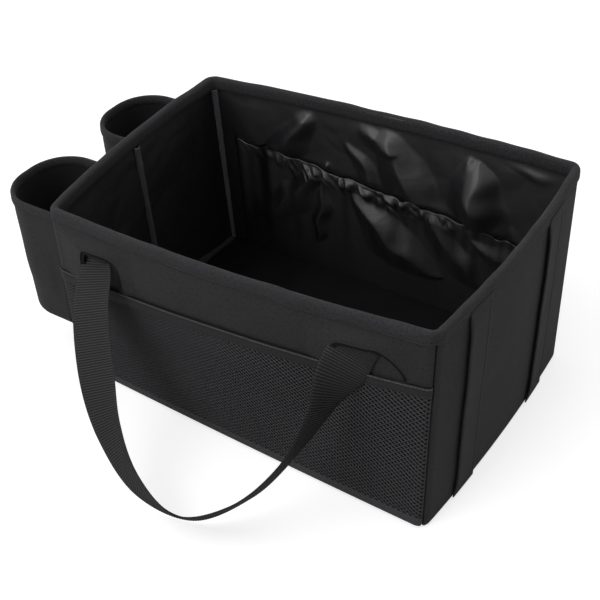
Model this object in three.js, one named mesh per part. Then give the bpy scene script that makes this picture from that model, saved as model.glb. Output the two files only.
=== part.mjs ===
// A soft-sided basket for a car's back seat: an open box of fabric over stiff boards, with two
// cup holders on its left end, a net pocket and a webbing handle in front, a second handle behind,
// two fabric bands on its right end and a gathered pocket inside.
// Millimetres, Z up. The origin is the middle of the base, on the floor; X runs along the front.
import * as THREE from 'three';

// Overall size of the box
const LENGTH = 381;
const DEPTH = 254;
const HEIGHT = 203;
const CORNER_RADIUS = 11;

// Soft walls: how far each corner has moved at the rim (x, y, z) and at the foot (x, y),
// in the order front left, front right, back right, back left
const CORNERS = [
  { x: -1, y: -1, rim: [9, -2, -9], foot: [-8, 5] },
  { x: 1, y: -1, rim: [0, 3, 2], foot: [-3, -5] },
  { x: 1, y: 1, rim: [2, 5, 4], foot: [3, -2] },
  { x: -1, y: 1, rim: [-3, -4, -1], foot: [0, 0] },
];
// How far the middle of each wall stands out, front, right, back and left
const RIM_BOW = [8.5, 7.5, 8, 8.5];
const FOOT_BOW = [1.5, 5, 3, 3];

// Layers of a wall, from the outside in
const SEAT = 0.3;
const FABRIC = 1.2;
const BOARD = 3;
const LINING = 0.8;
const TRIM = 0.9;
const BOARD_IN = FABRIC + SEAT;
const LINING_IN = BOARD_IN + BOARD + SEAT;
const INSIDE = LINING_IN + LINING;

// Foot and rim of the walls
const TURN_IN = 4;
const TURN_UP = 3.5;
const RIM_COVER = TRIM + 2 * SEAT;
const RIM_LEG_OUT = 10;
const RIM_LEG_IN = 12;

// Base plates
const BASE_BOARD_IN = 3.4;
const BASE_BOARD_Z = FABRIC + 0.5;
const FLOOR_Z = BASE_BOARD_Z + BOARD + SEAT;

// Boards of the walls and the fold in each end
const BOARD_END = 0.015;
const FOLD_GAP = 4;
const TAPE_WIDTH = 8;

// Net pocket on the front wall
const NET_TOP_LEFT = 127;
const NET_TOP_RIGHT = 154;
const NET_FOOT = 5;
const NET_HEM = 7;
const NET_THICK = 0.8;
const NET_COLUMNS = 20;
const NET_ROWS = 6;
const NET_GAP = 0.37;
const NET_BAND = 9;

// Webbing handle: its width, thickness, and where it runs. Each station is a point of its middle
// line, as x, distance out from the wall and height, and the direction of its width.
const WEB_WIDTH = 38;
const WEB_THICK = 1.6;
const WEB_STAND = WEB_THICK / 2 + 4 * SEAT;
const WEB_STEPS = 44;
const WEB_STATIONS = [
  { at: [-133, WEB_STAND, 168], across: [0.97, 0, 0.22] },
  { at: [-131.5, 2.9, 158], across: [0.96, 0, 0.25] },
  { at: [-126, 13.5, 146], across: [0.94, 0.05, 0.3] },
  { at: [-115, 31.5, 130], across: [0.92, 0.14, 0.36] },
  { at: [-92, 59.2, 94], across: [0.89, 0.2, 0.41] },
  { at: [-67, 83.9, 58], across: [0.82, 0.08, 0.56] },
  { at: [-29, 102.1, 29], across: [0.44, -0.11, 0.89] },
  { at: [22, 103.3, 19], across: [0.1, -0.59, 0.8] },
  { at: [65, 79.3, 41], across: [0.07, -0.83, 0.55] },
  { at: [95, 53, 81], across: [0.11, -0.88, 0.47] },
  { at: [113, 28.4, 125], across: [-0.13, -0.82, 0.55] },
  { at: [118, 14.5, 147], across: [-0.6, -0.4, 0.5] },
  { at: [122.5, 2.9, 163], across: [-0.9, 0, 0.42] },
  { at: [126, WEB_STAND, 173], across: [-0.9, 0, 0.42] },
];
const WEB_TUCK = 6;
const WEB_SECTION = [[-1, -1], [1, -1], [1, 1], [-1, 1]];

// Upper front panel, and the arches in it that the ends of the handle come out of: the middle and
// the half width of each, how far it rises above the net pocket, how square it is, and how far and
// how wide the panel stands out over the webbing
const YOKE_THICK = 0.9;
const YOKE_LAP = 1.2;
const ARCHES = [
  { x: WEB_STATIONS[0].at[0], half: WEB_WIDTH / 2 + 6, rise: 34 },
  { x: WEB_STATIONS[WEB_STATIONS.length - 1].at[0] + 5, half: WEB_WIDTH / 2 + 14, rise: 26 },
];
const ARCH_POWER = 4;
const ARCH_SWELL = WEB_THICK + 9 * SEAT;
const ARCH_SPREAD = 1.5;

// Fabric bands on the right wall
const BAND_WIDTH = 32;
const BAND_THICK = 1.6;
const BAND_PLACES = [{ name: 'front', y: -67 }, { name: 'rear', y: 67 }];

// Gathered pocket on the back wall, inside
const POUCH_FROM = 0.04;
const POUCH_TO = 0.96;
const POUCH_TOP_LEFT = 139;
const POUCH_TOP_RIGHT = 106;
const POUCH_FOOT = 8;
const POUCH_SWELL = 2.2;
const POUCH_WAVE = 1;
const POUCH_WAVES = 22;
const POUCH_WAVE_DROP = 26;
const ELASTIC = 4;

// Cup holders on the left wall
const CUP_WIDTH = 86;
const CUP_REACH = 66;
const CUP_ROUND = 38;
const CUP_WALL = 2;
const CUP_TOP = 184;
const CUP_FOOT = 55;
const CUP_TURN = 3;
const CUP_LIP = 9;
const CUP_FLOOR = 2.5;
const CUPS = [{ name: 'front', y: -81 }, { name: 'rear', y: 49 }];

// How finely curves are drawn
const WALL_STEPS = 10;
const CORNER_STEPS = 4;
const CUP_STEPS = 8;
const ARCH_STEPS = 12;
const SOLVE_STEPS = 6;

const finishes = {
  oxford: { color: 0x2b2b2d, roughness: 0.9, metalness: 0 },
  net: { color: 0x1f1f20, roughness: 0.95, metalness: 0 },
  webbing: { color: 0x2f2f2c, roughness: 0.8, metalness: 0 },
  trim: { color: 0x262627, roughness: 0.9, metalness: 0 },
  lining: { color: 0x141416, roughness: 0.35, metalness: 0 },
  board: { color: 0x6b6459, roughness: 0.9, metalness: 0 },
};
const basket = new THREE.Group();

const mix = (a, b, t) => a + (b - a) * t;
const add = (a, b, k = 1) => [a[0] + b[0] * k, a[1] + b[1] * k];
const unit = (a) => {
  const size = Math.hypot(a[0], a[1]);
  return [a[0] / size, a[1] / size];
};
// The outward normal of a plan direction, when the walls are followed anticlockwise
const outward = (e) => [e[1], -e[0]];

// Wall shape

function cornerAt(k, z) {
  const corner = CORNERS[k % 4];
  const t = z / HEIGHT;
  return [
    (corner.x * LENGTH) / 2 + mix(corner.foot[0], corner.rim[0], t),
    (corner.y * DEPTH) / 2 + mix(corner.foot[1], corner.rim[1], t),
  ];
}

function wallLine(w, z) {
  const from = cornerAt(w, z);
  const run = add(cornerAt(w + 1, z), from, -1);
  const bow = mix(FOOT_BOW[w], RIM_BOW[w], z / HEIGHT);
  const out = outward(unit(run));
  return {
    at: (s) => add(add(from, run, s), out, bow * 4 * s * (1 - s)),
    along: (s) => unit(add(run, out, bow * 4 * (1 - 2 * s))),
    size: Math.hypot(run[0], run[1]),
  };
}

function cornerArc(k, z) {
  const before = wallLine((k + 3) % 4, z).along(1);
  const after = wallLine(k % 4, z).along(0);
  const turn = Math.acos(before[0] * after[0] + before[1] * after[1]);
  const cut = CORNER_RADIUS * Math.tan(turn / 2);
  const centre = add(add(cornerAt(k, z), before, -cut), outward(before), -CORNER_RADIUS);
  return { turn, cut, centre, start: Math.atan2(outward(before)[1], outward(before)[0]) };
}

// A point of the wall, at p round the box, at a height and at a depth in from the outside. Even
// numbers start the front, right, back and left walls, and odd numbers the corners after them.
function wallPoint(p, z, depth) {
  const q = ((p % 8) + 8) % 8;
  const w = Math.floor(q / 2);
  const f = q - 2 * w;
  if (f > 1) {
    const arc = cornerArc(w + 1, z);
    const angle = arc.start + arc.turn * (f - 1);
    const reach = CORNER_RADIUS - depth;
    return new THREE.Vector3(
      arc.centre[0] + reach * Math.cos(angle), arc.centre[1] + reach * Math.sin(angle), z);
  }
  const line = wallLine(w, z);
  const s = mix(cornerArc(w, z).cut / line.size, 1 - cornerArc(w + 1, z).cut / line.size, f);
  const at = add(line.at(s), outward(line.along(s)), -depth);
  return new THREE.Vector3(at[0], at[1], z);
}

function rimHeight(p) {
  const q = ((p % 8) + 8) % 8;
  const w = Math.floor(q / 2);
  const f = Math.min(q - 2 * w, 1);
  return HEIGHT + mix(CORNERS[w].rim[2], CORNERS[(w + 1) % 4].rim[2], f);
}

// How far along a wall's line a plan coordinate lies, by Newton's method: x on the front and back
// walls, y on the right and left
function shareOfWall(w, value, z) {
  const line = wallLine(w, z);
  let share = 0.5;
  for (let i = 0; i < SOLVE_STEPS; i++) {
    share += (value - line.at(share)[w % 2]) / (line.along(share)[w % 2] * line.size);
  }
  return share;
}

function placeOnWall(w, value, z) {
  const size = wallLine(w, z).size;
  const before = cornerArc(w, z).cut / size;
  const after = cornerArc(w + 1, z).cut / size;
  return 2 * w + (shareOfWall(w, value, z) - before) / (1 - before - after);
}

// The places round the box from one p to another, at the same steps for every layer
function places(from, to, extra = []) {
  const list = [from, to, ...extra];
  for (let w = Math.floor(from / 2) - 1; w <= Math.ceil(to / 2); w++) {
    for (let i = 0; i <= WALL_STEPS; i++) list.push(2 * w + i / WALL_STEPS);
    for (let i = 1; i < CORNER_STEPS; i++) list.push(2 * w + 1 + i / CORNER_STEPS);
  }
  const inside = list.filter((p) => p >= from && p <= to).sort((a, b) => a - b);
  return inside.filter((p, i) => i === 0 || p - inside[i - 1] > 1e-4);
}

// Solids

function addNode(name, finish, points, faces) {
  const positions = new Float32Array(points.flatMap((v) => [v.x, v.y, v.z]));
  const [a, b, c] = [new THREE.Vector3(), new THREE.Vector3(), new THREE.Vector3()];
  let volume = 0;
  for (const face of faces) {
    a.copy(points[face[0]]);
    b.copy(points[face[1]]);
    c.copy(points[face[2]]);
    volume += a.dot(b.cross(c));
  }
  const index = faces.flatMap((face) => (volume > 0 ? face : [face[0], face[2], face[1]]));
  const geometry = new THREE.BufferGeometry();
  geometry.setAttribute('position', new THREE.BufferAttribute(positions, 3));
  geometry.setIndex(index);
  geometry.computeVertexNormals();
  const mesh = new THREE.Mesh(geometry, new THREE.MeshStandardMaterial(finishes[finish]));
  mesh.name = name;
  basket.add(mesh);
}

// The triangles of a flat outline, all turned anticlockwise
function flatTriangles(flat) {
  return THREE.ShapeUtils.triangulateShape(flat, []).map(([i, j, k]) => {
    const clockwise = THREE.ShapeUtils.isClockWise([flat[i], flat[j], flat[k]]);
    return clockwise ? [i, k, j] : [i, j, k];
  });
}

// Joins rings of points into one closed solid. Each ring is the same flat section, and a run that
// doesn't close on itself gets a cap at each end, cut up as the flat outline of the first section.
function addSweep(name, finish, rings, outline, closed = false) {
  const count = outline.length;
  const faces = [];
  const last = closed ? rings.length : rings.length - 1;
  for (let i = 0; i < last; i++) {
    const here = i * count;
    const next = ((i + 1) % rings.length) * count;
    for (let j = 0; j < count; j++) {
      const k = (j + 1) % count;
      faces.push([here + j, here + k, next + k], [here + j, next + k, next + j]);
    }
  }
  if (!closed) {
    const flat = outline.map(([u, v]) => new THREE.Vector2(u, v));
    const clockwise = THREE.ShapeUtils.isClockWise(flat);
    const end = (rings.length - 1) * count;
    for (const [i, j, k] of flatTriangles(flat)) {
      faces.push(clockwise ? [i, j, k] : [i, k, j]);
      faces.push(clockwise ? [end + i, end + k, end + j] : [end + i, end + j, end + k]);
    }
  }
  addNode(name, finish, rings.flat(), faces);
}

// A plate of one outline, from the height of its points up to another height
function addPrism(name, finish, outline, high) {
  const flat = outline.map((v) => new THREE.Vector2(v.x, v.y));
  const round = THREE.ShapeUtils.isClockWise(flat) ? [...outline].reverse() : outline;
  const top = round.map((v) => new THREE.Vector3(v.x, v.y, high));
  const count = round.length;
  const faces = [];
  for (const [i, j, k] of flatTriangles(round.map((v) => new THREE.Vector2(v.x, v.y)))) {
    faces.push([i, k, j], [count + i, count + j, count + k]);
  }
  for (let i = 0; i < count; i++) {
    const j = (i + 1) % count;
    faces.push([i, j, count + j], [i, count + j, count + i]);
  }
  addNode(name, finish, [...round, ...top], faces);
}

// A layer of the wall: its section is given as depths and heights at each place round the box
function addLayer(name, finish, round, sectionAt, closed = false) {
  const rings = round.map((p) => sectionAt(p).map(([depth, z]) => wallPoint(p, z, depth)));
  addSweep(name, finish, rings, sectionAt(round[0]), closed);
}

// A flat plate inside the walls
function addPlate(name, finish, depth, low, high) {
  const round = places(0, 8).filter((p) => p < 8);
  addPrism(name, finish, round.map((p) => wallPoint(p, low, depth)), high);
}

// Heights at which every layer has a row of points, so that the layers bend alike
const rows = (low, high) => [HEIGHT / 3, (2 * HEIGHT) / 3].filter((z) => z > low + 1 && z < high - 1);

function slab(outer, inner, low, high) {
  const between = rows(low, high);
  return [
    [outer, low], ...between.map((z) => [outer, z]), [outer, high],
    [inner, high], ...between.reverse().map((z) => [inner, z]), [inner, low],
  ];
}

// Outer fabric, folded under at the foot

function outerSection(p) {
  const top = rimHeight(p) - RIM_COVER;
  const between = rows(TURN_UP, top);
  return [
    [TURN_IN, 0], [FABRIC, 0.8], [0, TURN_UP], ...between.map((z) => [0, z]), [0, top],
    [FABRIC, top], ...[...between].reverse().map((z) => [FABRIC, z]), [FABRIC, TURN_UP + SEAT],
    [FABRIC + 0.7, FABRIC + 0.7], [TURN_IN, FABRIC],
  ];
}

const SEAM = 0.01;
const outerPanels = [
  ['outer_front_panel', -0.5, 1.5],
  ['outer_right_panel', 1.5, 3.5],
  ['outer_back_panel', 3.5, 5.5],
  ['outer_left_panel', 5.5, 7.5],
];
for (const [name, from, to] of outerPanels) {
  addLayer(name, 'oxford', places(from + SEAM, to - SEAM), outerSection);
}
addPlate('base_outer_fabric', 'oxford', TURN_IN + SEAT, 0, FABRIC);
addPlate('base_board', 'board', BASE_BOARD_IN, BASE_BOARD_Z, BASE_BOARD_Z + BOARD);
addPlate('base_lining', 'lining', LINING_IN, FLOOR_Z, FLOOR_Z + LINING);

// Stiff boards in the walls; each end has two, so that the basket folds flat

const boardSection = (p) => slab(BOARD_IN, BOARD_IN + BOARD, FLOOR_Z, rimHeight(p) - RIM_COVER);
const foldShare = FOLD_GAP / 2 / DEPTH;
const boards = [
  ['front_board', BOARD_END, 1 - BOARD_END],
  ['right_board_front', 2 + BOARD_END, 2.5 - foldShare],
  ['right_board_rear', 2.5 + foldShare, 3 - BOARD_END],
  ['back_board', 4 + BOARD_END, 5 - BOARD_END],
  ['left_board_rear', 6 + BOARD_END, 6.5 - foldShare],
  ['left_board_front', 6.5 + foldShare, 7 - BOARD_END],
];
for (const [name, from, to] of boards) addLayer(name, 'board', places(from, to), boardSection);

// Lining of the walls, with tape down each corner and each fold

const LINING_FOOT = FLOOR_Z + LINING + SEAT;
const liningSection = (p) => slab(LINING_IN, INSIDE, LINING_FOOT, rimHeight(p) - RIM_COVER);
const linings = [
  ['front_lining', -0.5, 1.5],
  ['right_lining', 1.5, 3.5],
  ['back_lining', 3.5, 5.5],
  ['left_lining', 5.5, 7.5],
];
for (const [name, from, to] of linings) {
  addLayer(name, 'lining', places(from + SEAM, to - SEAM), liningSection);
}

const TAPE_IN = INSIDE + SEAT;
const tapeSection = (p) => slab(TAPE_IN, TAPE_IN + TRIM, LINING_FOOT,
  rimHeight(p) - RIM_LEG_IN - SEAT);
const tapeShare = TAPE_WIDTH / 2 / DEPTH;
const tapes = [
  ['corner_tape_front_right', 1, 2],
  ['corner_tape_back_right', 3, 4],
  ['corner_tape_back_left', 5, 6],
  ['corner_tape_front_left', 7, 8],
  ['fold_tape_right', 2.5 - tapeShare, 2.5 + tapeShare],
  ['fold_tape_left', 6.5 - tapeShare, 6.5 + tapeShare],
];
for (const [name, from, to] of tapes) addLayer(name, 'trim', places(from, to), tapeSection);

// Binding folded over the rim

const rimInner = INSIDE + SEAT + TRIM;
const rimSection = (p) => {
  const top = rimHeight(p);
  return [
    [-SEAT - TRIM, top - RIM_LEG_OUT], [-SEAT - TRIM, top - TRIM], [0, top],
    [INSIDE, top], [rimInner, top - TRIM], [rimInner, top - RIM_LEG_IN],
    [rimInner - TRIM, top - RIM_LEG_IN], [rimInner - TRIM, top - RIM_COVER + SEAT],
    [-SEAT, top - RIM_COVER + SEAT], [-SEAT, top - RIM_LEG_OUT],
  ];
};
addLayer('rim_binding', 'trim', places(0, 8).filter((p) => p < 8), rimSection, true);

// Upper front panel, with an arch over each end of the handle

const FRONT_FROM = -0.5 + SEAM;
const FRONT_TO = 1.5 - SEAM;
const netTop = (p) => mix(NET_TOP_LEFT, NET_TOP_RIGHT, THREE.MathUtils.clamp(p, 0, 1));

const arches = ARCHES.map(({ x, half, rise }) => {
  const [at, end] = [x, x + half].map((value) => placeOnWall(0, value, NET_TOP_RIGHT));
  return { at, half: end - at, rise };
});

function archRise(p) {
  const rises = arches.map(({ at, half, rise }) => {
    const u = Math.min(Math.abs(p - at) / half, 1);
    return rise * (1 - u ** ARCH_POWER) ** (1 / ARCH_POWER);
  });
  return Math.max(...rises);
}

function archSwell(p) {
  const swells = arches.map(({ at, half }) => {
    const u = Math.min(Math.abs(p - at) / (half * ARCH_SPREAD), 1);
    return ARCH_SWELL * (1 - u ** ARCH_POWER);
  });
  return Math.max(...swells);
}

const archPlaces = arches.flatMap(({ at, half }) => {
  const angles = Array.from({ length: ARCH_STEPS + 1 }, (_, i) => (i / ARCH_STEPS) * Math.PI);
  const ends = [at - half * ARCH_SPREAD, at + half * ARCH_SPREAD];
  return [...ends, ...angles.map((a) => at - half * Math.cos(a))];
});
const yokeSection = (p) => {
  const outer = -SEAT - archSwell(p) - YOKE_THICK;
  const low = netTop(p) + YOKE_LAP + archRise(p);
  return [
    [outer, low], [outer, rimHeight(p) - RIM_LEG_OUT - SEAT],
    [outer + YOKE_THICK, rimHeight(p) - RIM_LEG_OUT - SEAT], [outer + YOKE_THICK, low],
  ];
};
addLayer('front_yoke', 'oxford', places(FRONT_FROM, FRONT_TO, archPlaces), yokeSection);

// Net pocket: a sheet on the front wall, cut through by rows of diamonds

function addNet() {
  const outer = -SEAT - NET_THICK;
  const columns = places(FRONT_FROM, 0);
  for (let i = 1; i < NET_COLUMNS; i++) columns.push(i / NET_COLUMNS);
  columns.push(...places(1, FRONT_TO));
  const heightAt = (p, j) => {
    const top = netTop(p) - NET_BAND - SEAT;
    if (j <= 0) return NET_FOOT;
    if (j > NET_ROWS + 1) return top;
    return mix(NET_FOOT + NET_HEM, top, (j - 1) / NET_ROWS);
  };
  const points = [];
  const faces = [];
  const both = (p, z) => {
    points.push(wallPoint(p, z, outer), wallPoint(p, z, outer + NET_THICK));
    return points.length - 2;
  };
  const tri = (a, b, c) => faces.push([a, b, c], [a + 1, c + 1, b + 1]);
  const edge = (a, b) => faces.push([a, a + 1, b + 1], [a, b + 1, b]);
  const grid = columns.map((p) => {
    return Array.from({ length: NET_ROWS + 2 }, (_, j) => both(p, heightAt(p, j)));
  });
  const lastColumn = columns.length - 1;
  for (let i = 0; i < lastColumn; i++) {
    for (let j = 0; j <= NET_ROWS; j++) {
      const [a, b, c, d] = [grid[i][j], grid[i + 1][j], grid[i + 1][j + 1], grid[i][j + 1]];
      const atCorner = columns[i] < 0 || columns[i + 1] > 1;
      if (atCorner || j === 0) {
        tri(a, b, c);
        tri(a, c, d);
        continue;
      }
      const p = (columns[i] + columns[i + 1]) / 2;
      const wide = (columns[i + 1] - columns[i]) * NET_GAP;
      const low = heightAt(p, j);
      const tall = heightAt(p, j + 1) - low;
      const middle = low + tall / 2;
      const south = both(p, middle - tall * NET_GAP);
      const east = both(p + wide, middle);
      const north = both(p, middle + tall * NET_GAP);
      const west = both(p - wide, middle);
      tri(a, b, south);
      tri(b, east, south);
      tri(b, c, east);
      tri(c, north, east);
      tri(c, d, north);
      tri(d, west, north);
      tri(d, a, west);
      tri(a, south, west);
      edge(east, south);
      edge(north, east);
      edge(west, north);
      edge(south, west);
    }
  }
  for (let i = 0; i < lastColumn; i++) {
    edge(grid[i][0], grid[i + 1][0]);
    edge(grid[i + 1][NET_ROWS + 1], grid[i][NET_ROWS + 1]);
  }
  for (let j = 0; j <= NET_ROWS; j++) {
    edge(grid[0][j + 1], grid[0][j]);
    edge(grid[lastColumn][j], grid[lastColumn][j + 1]);
  }
  addNode('net_pocket', 'net', points, faces);
}
addNet();

const netBandSection = (p) => {
  const outer = -SEAT - NET_THICK;
  return [
    [outer, netTop(p) - NET_BAND], [outer, netTop(p)],
    [outer + NET_THICK, netTop(p)], [outer + NET_THICK, netTop(p) - NET_BAND],
  ];
};
addLayer('net_pocket_binding', 'trim', places(FRONT_FROM, FRONT_TO), netBandSection);

// Webbing handles

function addHandle(name, wall) {
  const side = wall === 0 ? 1 : -1;
  const onWall = ([x, out, z]) => {
    const face = wallPoint(placeOnWall(wall, x, z), z, 0);
    return new THREE.Vector3(x, face.y - side * out, z);
  };
  // A direction given along the wall, into it and up
  const direction = ({ at, across }) => {
    const [ex, ey] = wallLine(wall, at[2]).along(shareOfWall(wall, at[0], at[2]));
    return new THREE.Vector3(
      across[0] * ex * side - across[1] * ey, across[0] * ey * side + across[1] * ex, across[2]);
  };
  const tucked = ({ at, across }) => {
    const up = new THREE.Vector2(-across[2], across[0]).normalize();
    if (up.y < 0) up.negate();
    const [x, z] = [at[0] + up.x * WEB_TUCK, at[2] + up.y * WEB_TUCK];
    return { at: [x, WEB_STAND, z], across };
  };
  const last = WEB_STATIONS[WEB_STATIONS.length - 1];
  const run = [tucked(WEB_STATIONS[0]), ...WEB_STATIONS, tucked(last)];
  const middle = new THREE.CatmullRomCurve3(run.map(({ at }) => onWall(at)));
  const width = new THREE.CatmullRomCurve3(run.map(direction));
  const rings = [];
  for (let i = 0; i <= WEB_STEPS; i++) {
    const t = i / WEB_STEPS;
    const at = middle.getPoint(t);
    const along = middle.getTangent(t);
    const across = width.getPoint(t);
    across.addScaledVector(along, -across.dot(along)).normalize();
    const face = along.clone().cross(across);
    rings.push(WEB_SECTION.map(([u, v]) => at.clone()
      .addScaledVector(across, (u * WEB_WIDTH) / 2)
      .addScaledVector(face, (v * WEB_THICK) / 2)));
  }
  addSweep(name, 'webbing', rings, WEB_SECTION);
}
addHandle('front_handle', 0);
addHandle('back_handle', 2);

// Bands on the right wall, from under the rim binding to the foot

for (const { name, y } of BAND_PLACES) {
  const from = placeOnWall(1, y - BAND_WIDTH / 2, HEIGHT);
  const to = placeOnWall(1, y + BAND_WIDTH / 2, HEIGHT);
  const section = (p) => slab(-SEAT - BAND_THICK, -SEAT, TURN_UP, rimHeight(p) - RIM_LEG_OUT - SEAT);
  addLayer(`right_band_${name}`, 'trim', places(from, to), section);
}

// Gathered pocket inside the back wall

const pouchTop = (p) => mix(POUCH_TOP_RIGHT, POUCH_TOP_LEFT, p - 4);
const pouchPlaces = Array.from({ length: POUCH_WAVES * 4 + 1 }, (_, i) => {
  return 4 + mix(POUCH_FROM, POUCH_TO, i / (POUCH_WAVES * 4));
});
const pouchSection = (p) => {
  const share = (p - 4 - POUCH_FROM) / (POUCH_TO - POUCH_FROM);
  const swell = POUCH_SWELL * Math.sin(share * Math.PI) ** 0.5;
  const wave = POUCH_WAVE * (1 - Math.cos(share * POUCH_WAVES * 2 * Math.PI));
  const base = INSIDE + SEAT;
  const high = pouchTop(p);
  const bend = base + swell * 0.5;
  const edge = base + swell + wave;
  return [
    [base, POUCH_FOOT], [bend, high - POUCH_WAVE_DROP], [edge, high],
    [edge + LINING, high], [bend + LINING, high - POUCH_WAVE_DROP], [base + LINING, POUCH_FOOT],
  ];
};
addLayer('inner_pocket', 'lining', pouchPlaces, pouchSection);

const elasticSection = (p) => {
  const share = (p - 4 - POUCH_FROM) / (POUCH_TO - POUCH_FROM);
  const inner = INSIDE + SEAT + POUCH_SWELL * Math.sin(share * Math.PI) ** 0.5;
  const low = pouchTop(p) + SEAT;
  return [
    [inner, low], [inner, low + ELASTIC], [inner + TRIM, low + ELASTIC], [inner + TRIM, low],
  ];
};
addLayer('inner_pocket_elastic', 'trim',
  places(4 + POUCH_FROM, 4 + POUCH_TO, pouchPlaces.filter((_, i) => i % 8 === 0)), elasticSection);

// Cup holders: a fabric sleeve round a D that stands out from the left wall

// The left wall's outside at a place along it
function leftWallX(y, z) {
  return wallPoint(placeOnWall(3, y, z), z, 0).x - SEAT;
}

// A point of the sleeve's outline: f runs from 0 at the wall, round the end, to 1 at the wall
function sleevePoint(cup, f, z, depth) {
  const half = CUP_WIDTH / 2;
  const reach = leftWallX(cup.y, CUP_TOP) - CUP_REACH;
  const round = CUP_ROUND - depth;
  const centreX = reach + CUP_ROUND;
  const flank = half - CUP_ROUND;
  if (f === 0 || f === 1) {
    const y = cup.y + (f === 0 ? -1 : 1) * (half - depth);
    return new THREE.Vector3(leftWallX(y, z), y, z);
  }
  const angle = ((f - 0.1) / 0.8) * Math.PI;
  const side = Math.cos(angle) > 0 ? -1 : 1;
  return new THREE.Vector3(
    centreX - round * Math.sin(angle), cup.y + side * flank - round * Math.cos(angle), z);
}

const sleevePlaces = [0];
for (let i = 0; i <= CUP_STEPS; i++) sleevePlaces.push(0.1 + (0.8 * i) / CUP_STEPS);
sleevePlaces.push(1);

function addSleeve(name, finish, cup, section) {
  const rings = sleevePlaces.map((f) => section.map(([depth, z]) => sleevePoint(cup, f, z, depth)));
  addSweep(name, finish, rings, section);
}

function addCup(cup) {
  addSleeve(`cup_sleeve_${cup.name}`, 'oxford', cup, [
    [CUP_TURN, CUP_FOOT], [0, CUP_FOOT + CUP_TURN], [0, CUP_TOP - RIM_COVER],
    [CUP_WALL, CUP_TOP - RIM_COVER], [CUP_WALL, CUP_FOOT + CUP_TURN], [CUP_TURN, CUP_FOOT + CUP_WALL],
  ]);
  const inner = CUP_WALL + SEAT + TRIM;
  addSleeve(`cup_lip_${cup.name}`, 'trim', cup, [
    [-SEAT - TRIM, CUP_TOP - CUP_LIP], [-SEAT - TRIM, CUP_TOP - TRIM], [0, CUP_TOP],
    [CUP_WALL, CUP_TOP], [inner, CUP_TOP - TRIM], [inner, CUP_TOP - CUP_LIP],
    [inner - TRIM, CUP_TOP - CUP_LIP], [inner - TRIM, CUP_TOP - RIM_COVER + SEAT],
    [-SEAT, CUP_TOP - RIM_COVER + SEAT], [-SEAT, CUP_TOP - CUP_LIP],
  ]);
  const floorTop = CUP_FOOT + CUP_FLOOR;
  const liningIn = CUP_WALL + SEAT;
  addSleeve(`cup_lining_${cup.name}`, 'lining', cup, [
    [liningIn, floorTop + SEAT], [liningIn, CUP_TOP - CUP_LIP - SEAT],
    [liningIn + LINING, CUP_TOP - CUP_LIP - SEAT], [liningIn + LINING, floorTop + SEAT],
  ]);
  const outline = sleevePlaces.map((f) => sleevePoint(cup, f, CUP_FOOT, CUP_TURN + SEAT));
  for (const side of [0.5, 0, -0.5]) {
    const y = cup.y + (side * CUP_WIDTH) / 2;
    outline.push(new THREE.Vector3(leftWallX(y, floorTop) - SEAT, y, CUP_FOOT));
  }
  addPrism(`cup_base_${cup.name}`, 'board', outline, floorTop);
}
for (const cup of CUPS) addCup(cup);

export default basket;
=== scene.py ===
# %% [markdown]
# # A back seat basket in black cloth
#
# The real basket is cloth sewn over stiff boards, so nothing on it is quite flat. This lesson
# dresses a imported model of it: every cloth piece gets a fine mesh of its own, laid out on the same
# walls as the model, and a material for the way that cloth was made.

import math

import bmesh
import bpy
import numpy as np
from mathutils import Matrix


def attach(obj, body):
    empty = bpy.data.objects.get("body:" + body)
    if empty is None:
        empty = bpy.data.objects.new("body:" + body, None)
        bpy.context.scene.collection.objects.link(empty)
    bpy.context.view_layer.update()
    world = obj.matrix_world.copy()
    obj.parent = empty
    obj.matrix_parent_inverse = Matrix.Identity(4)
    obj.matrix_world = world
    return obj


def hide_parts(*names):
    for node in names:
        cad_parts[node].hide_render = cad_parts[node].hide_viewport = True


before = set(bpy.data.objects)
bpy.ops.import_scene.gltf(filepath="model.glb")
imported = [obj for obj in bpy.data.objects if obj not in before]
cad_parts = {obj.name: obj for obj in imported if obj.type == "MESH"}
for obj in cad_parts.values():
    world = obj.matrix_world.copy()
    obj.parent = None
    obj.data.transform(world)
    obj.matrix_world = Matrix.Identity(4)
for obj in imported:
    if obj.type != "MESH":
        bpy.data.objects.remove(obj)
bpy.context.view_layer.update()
print("packed pieces:", len(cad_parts))

# %% [markdown]
# ## The camera
#
# A camera looks down its own -Z. Turning it first about the world's Z by the
# azimuth, then tipping it about its own X, then rolling it about its own Z, keeps the three angles
# independent, which makes each of them easy to match by eye.

# %% Camera at the photograph's angle
MM = 0.001
CAMERA_AT = (450.0, -653.0, 711.1)
CAMERA_AZIMUTH = math.radians(35.87)
CAMERA_ELEVATION = math.radians(38.65)
CAMERA_ROLL = math.radians(-3.89)
SENSOR = 36
LENS = 66
FRAME_SHIFT = (0.0112, -0.0012)
NEAREST = 0.05


def add_object(name, data):
    made = bpy.data.objects.new(name, data)
    bpy.context.scene.collection.objects.link(made)
    return made


camera_data = bpy.data.cameras.new("camera")
camera_data.sensor_width = SENSOR
camera_data.lens = LENS
camera_data.shift_x, camera_data.shift_y = FRAME_SHIFT
camera_data.clip_start = NEAREST
camera = add_object("camera", camera_data)
camera.matrix_world = (
    Matrix.Translation([value * MM for value in CAMERA_AT])
    @ Matrix.Rotation(CAMERA_AZIMUTH, 4, "Z")
    @ Matrix.Rotation(math.pi / 2 - CAMERA_ELEVATION, 4, "X")
    @ Matrix.Rotation(CAMERA_ROLL, 4, "Z")
)
bpy.context.scene.camera = camera
print("camera at", [round(value, 3) for value in camera.location])

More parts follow.
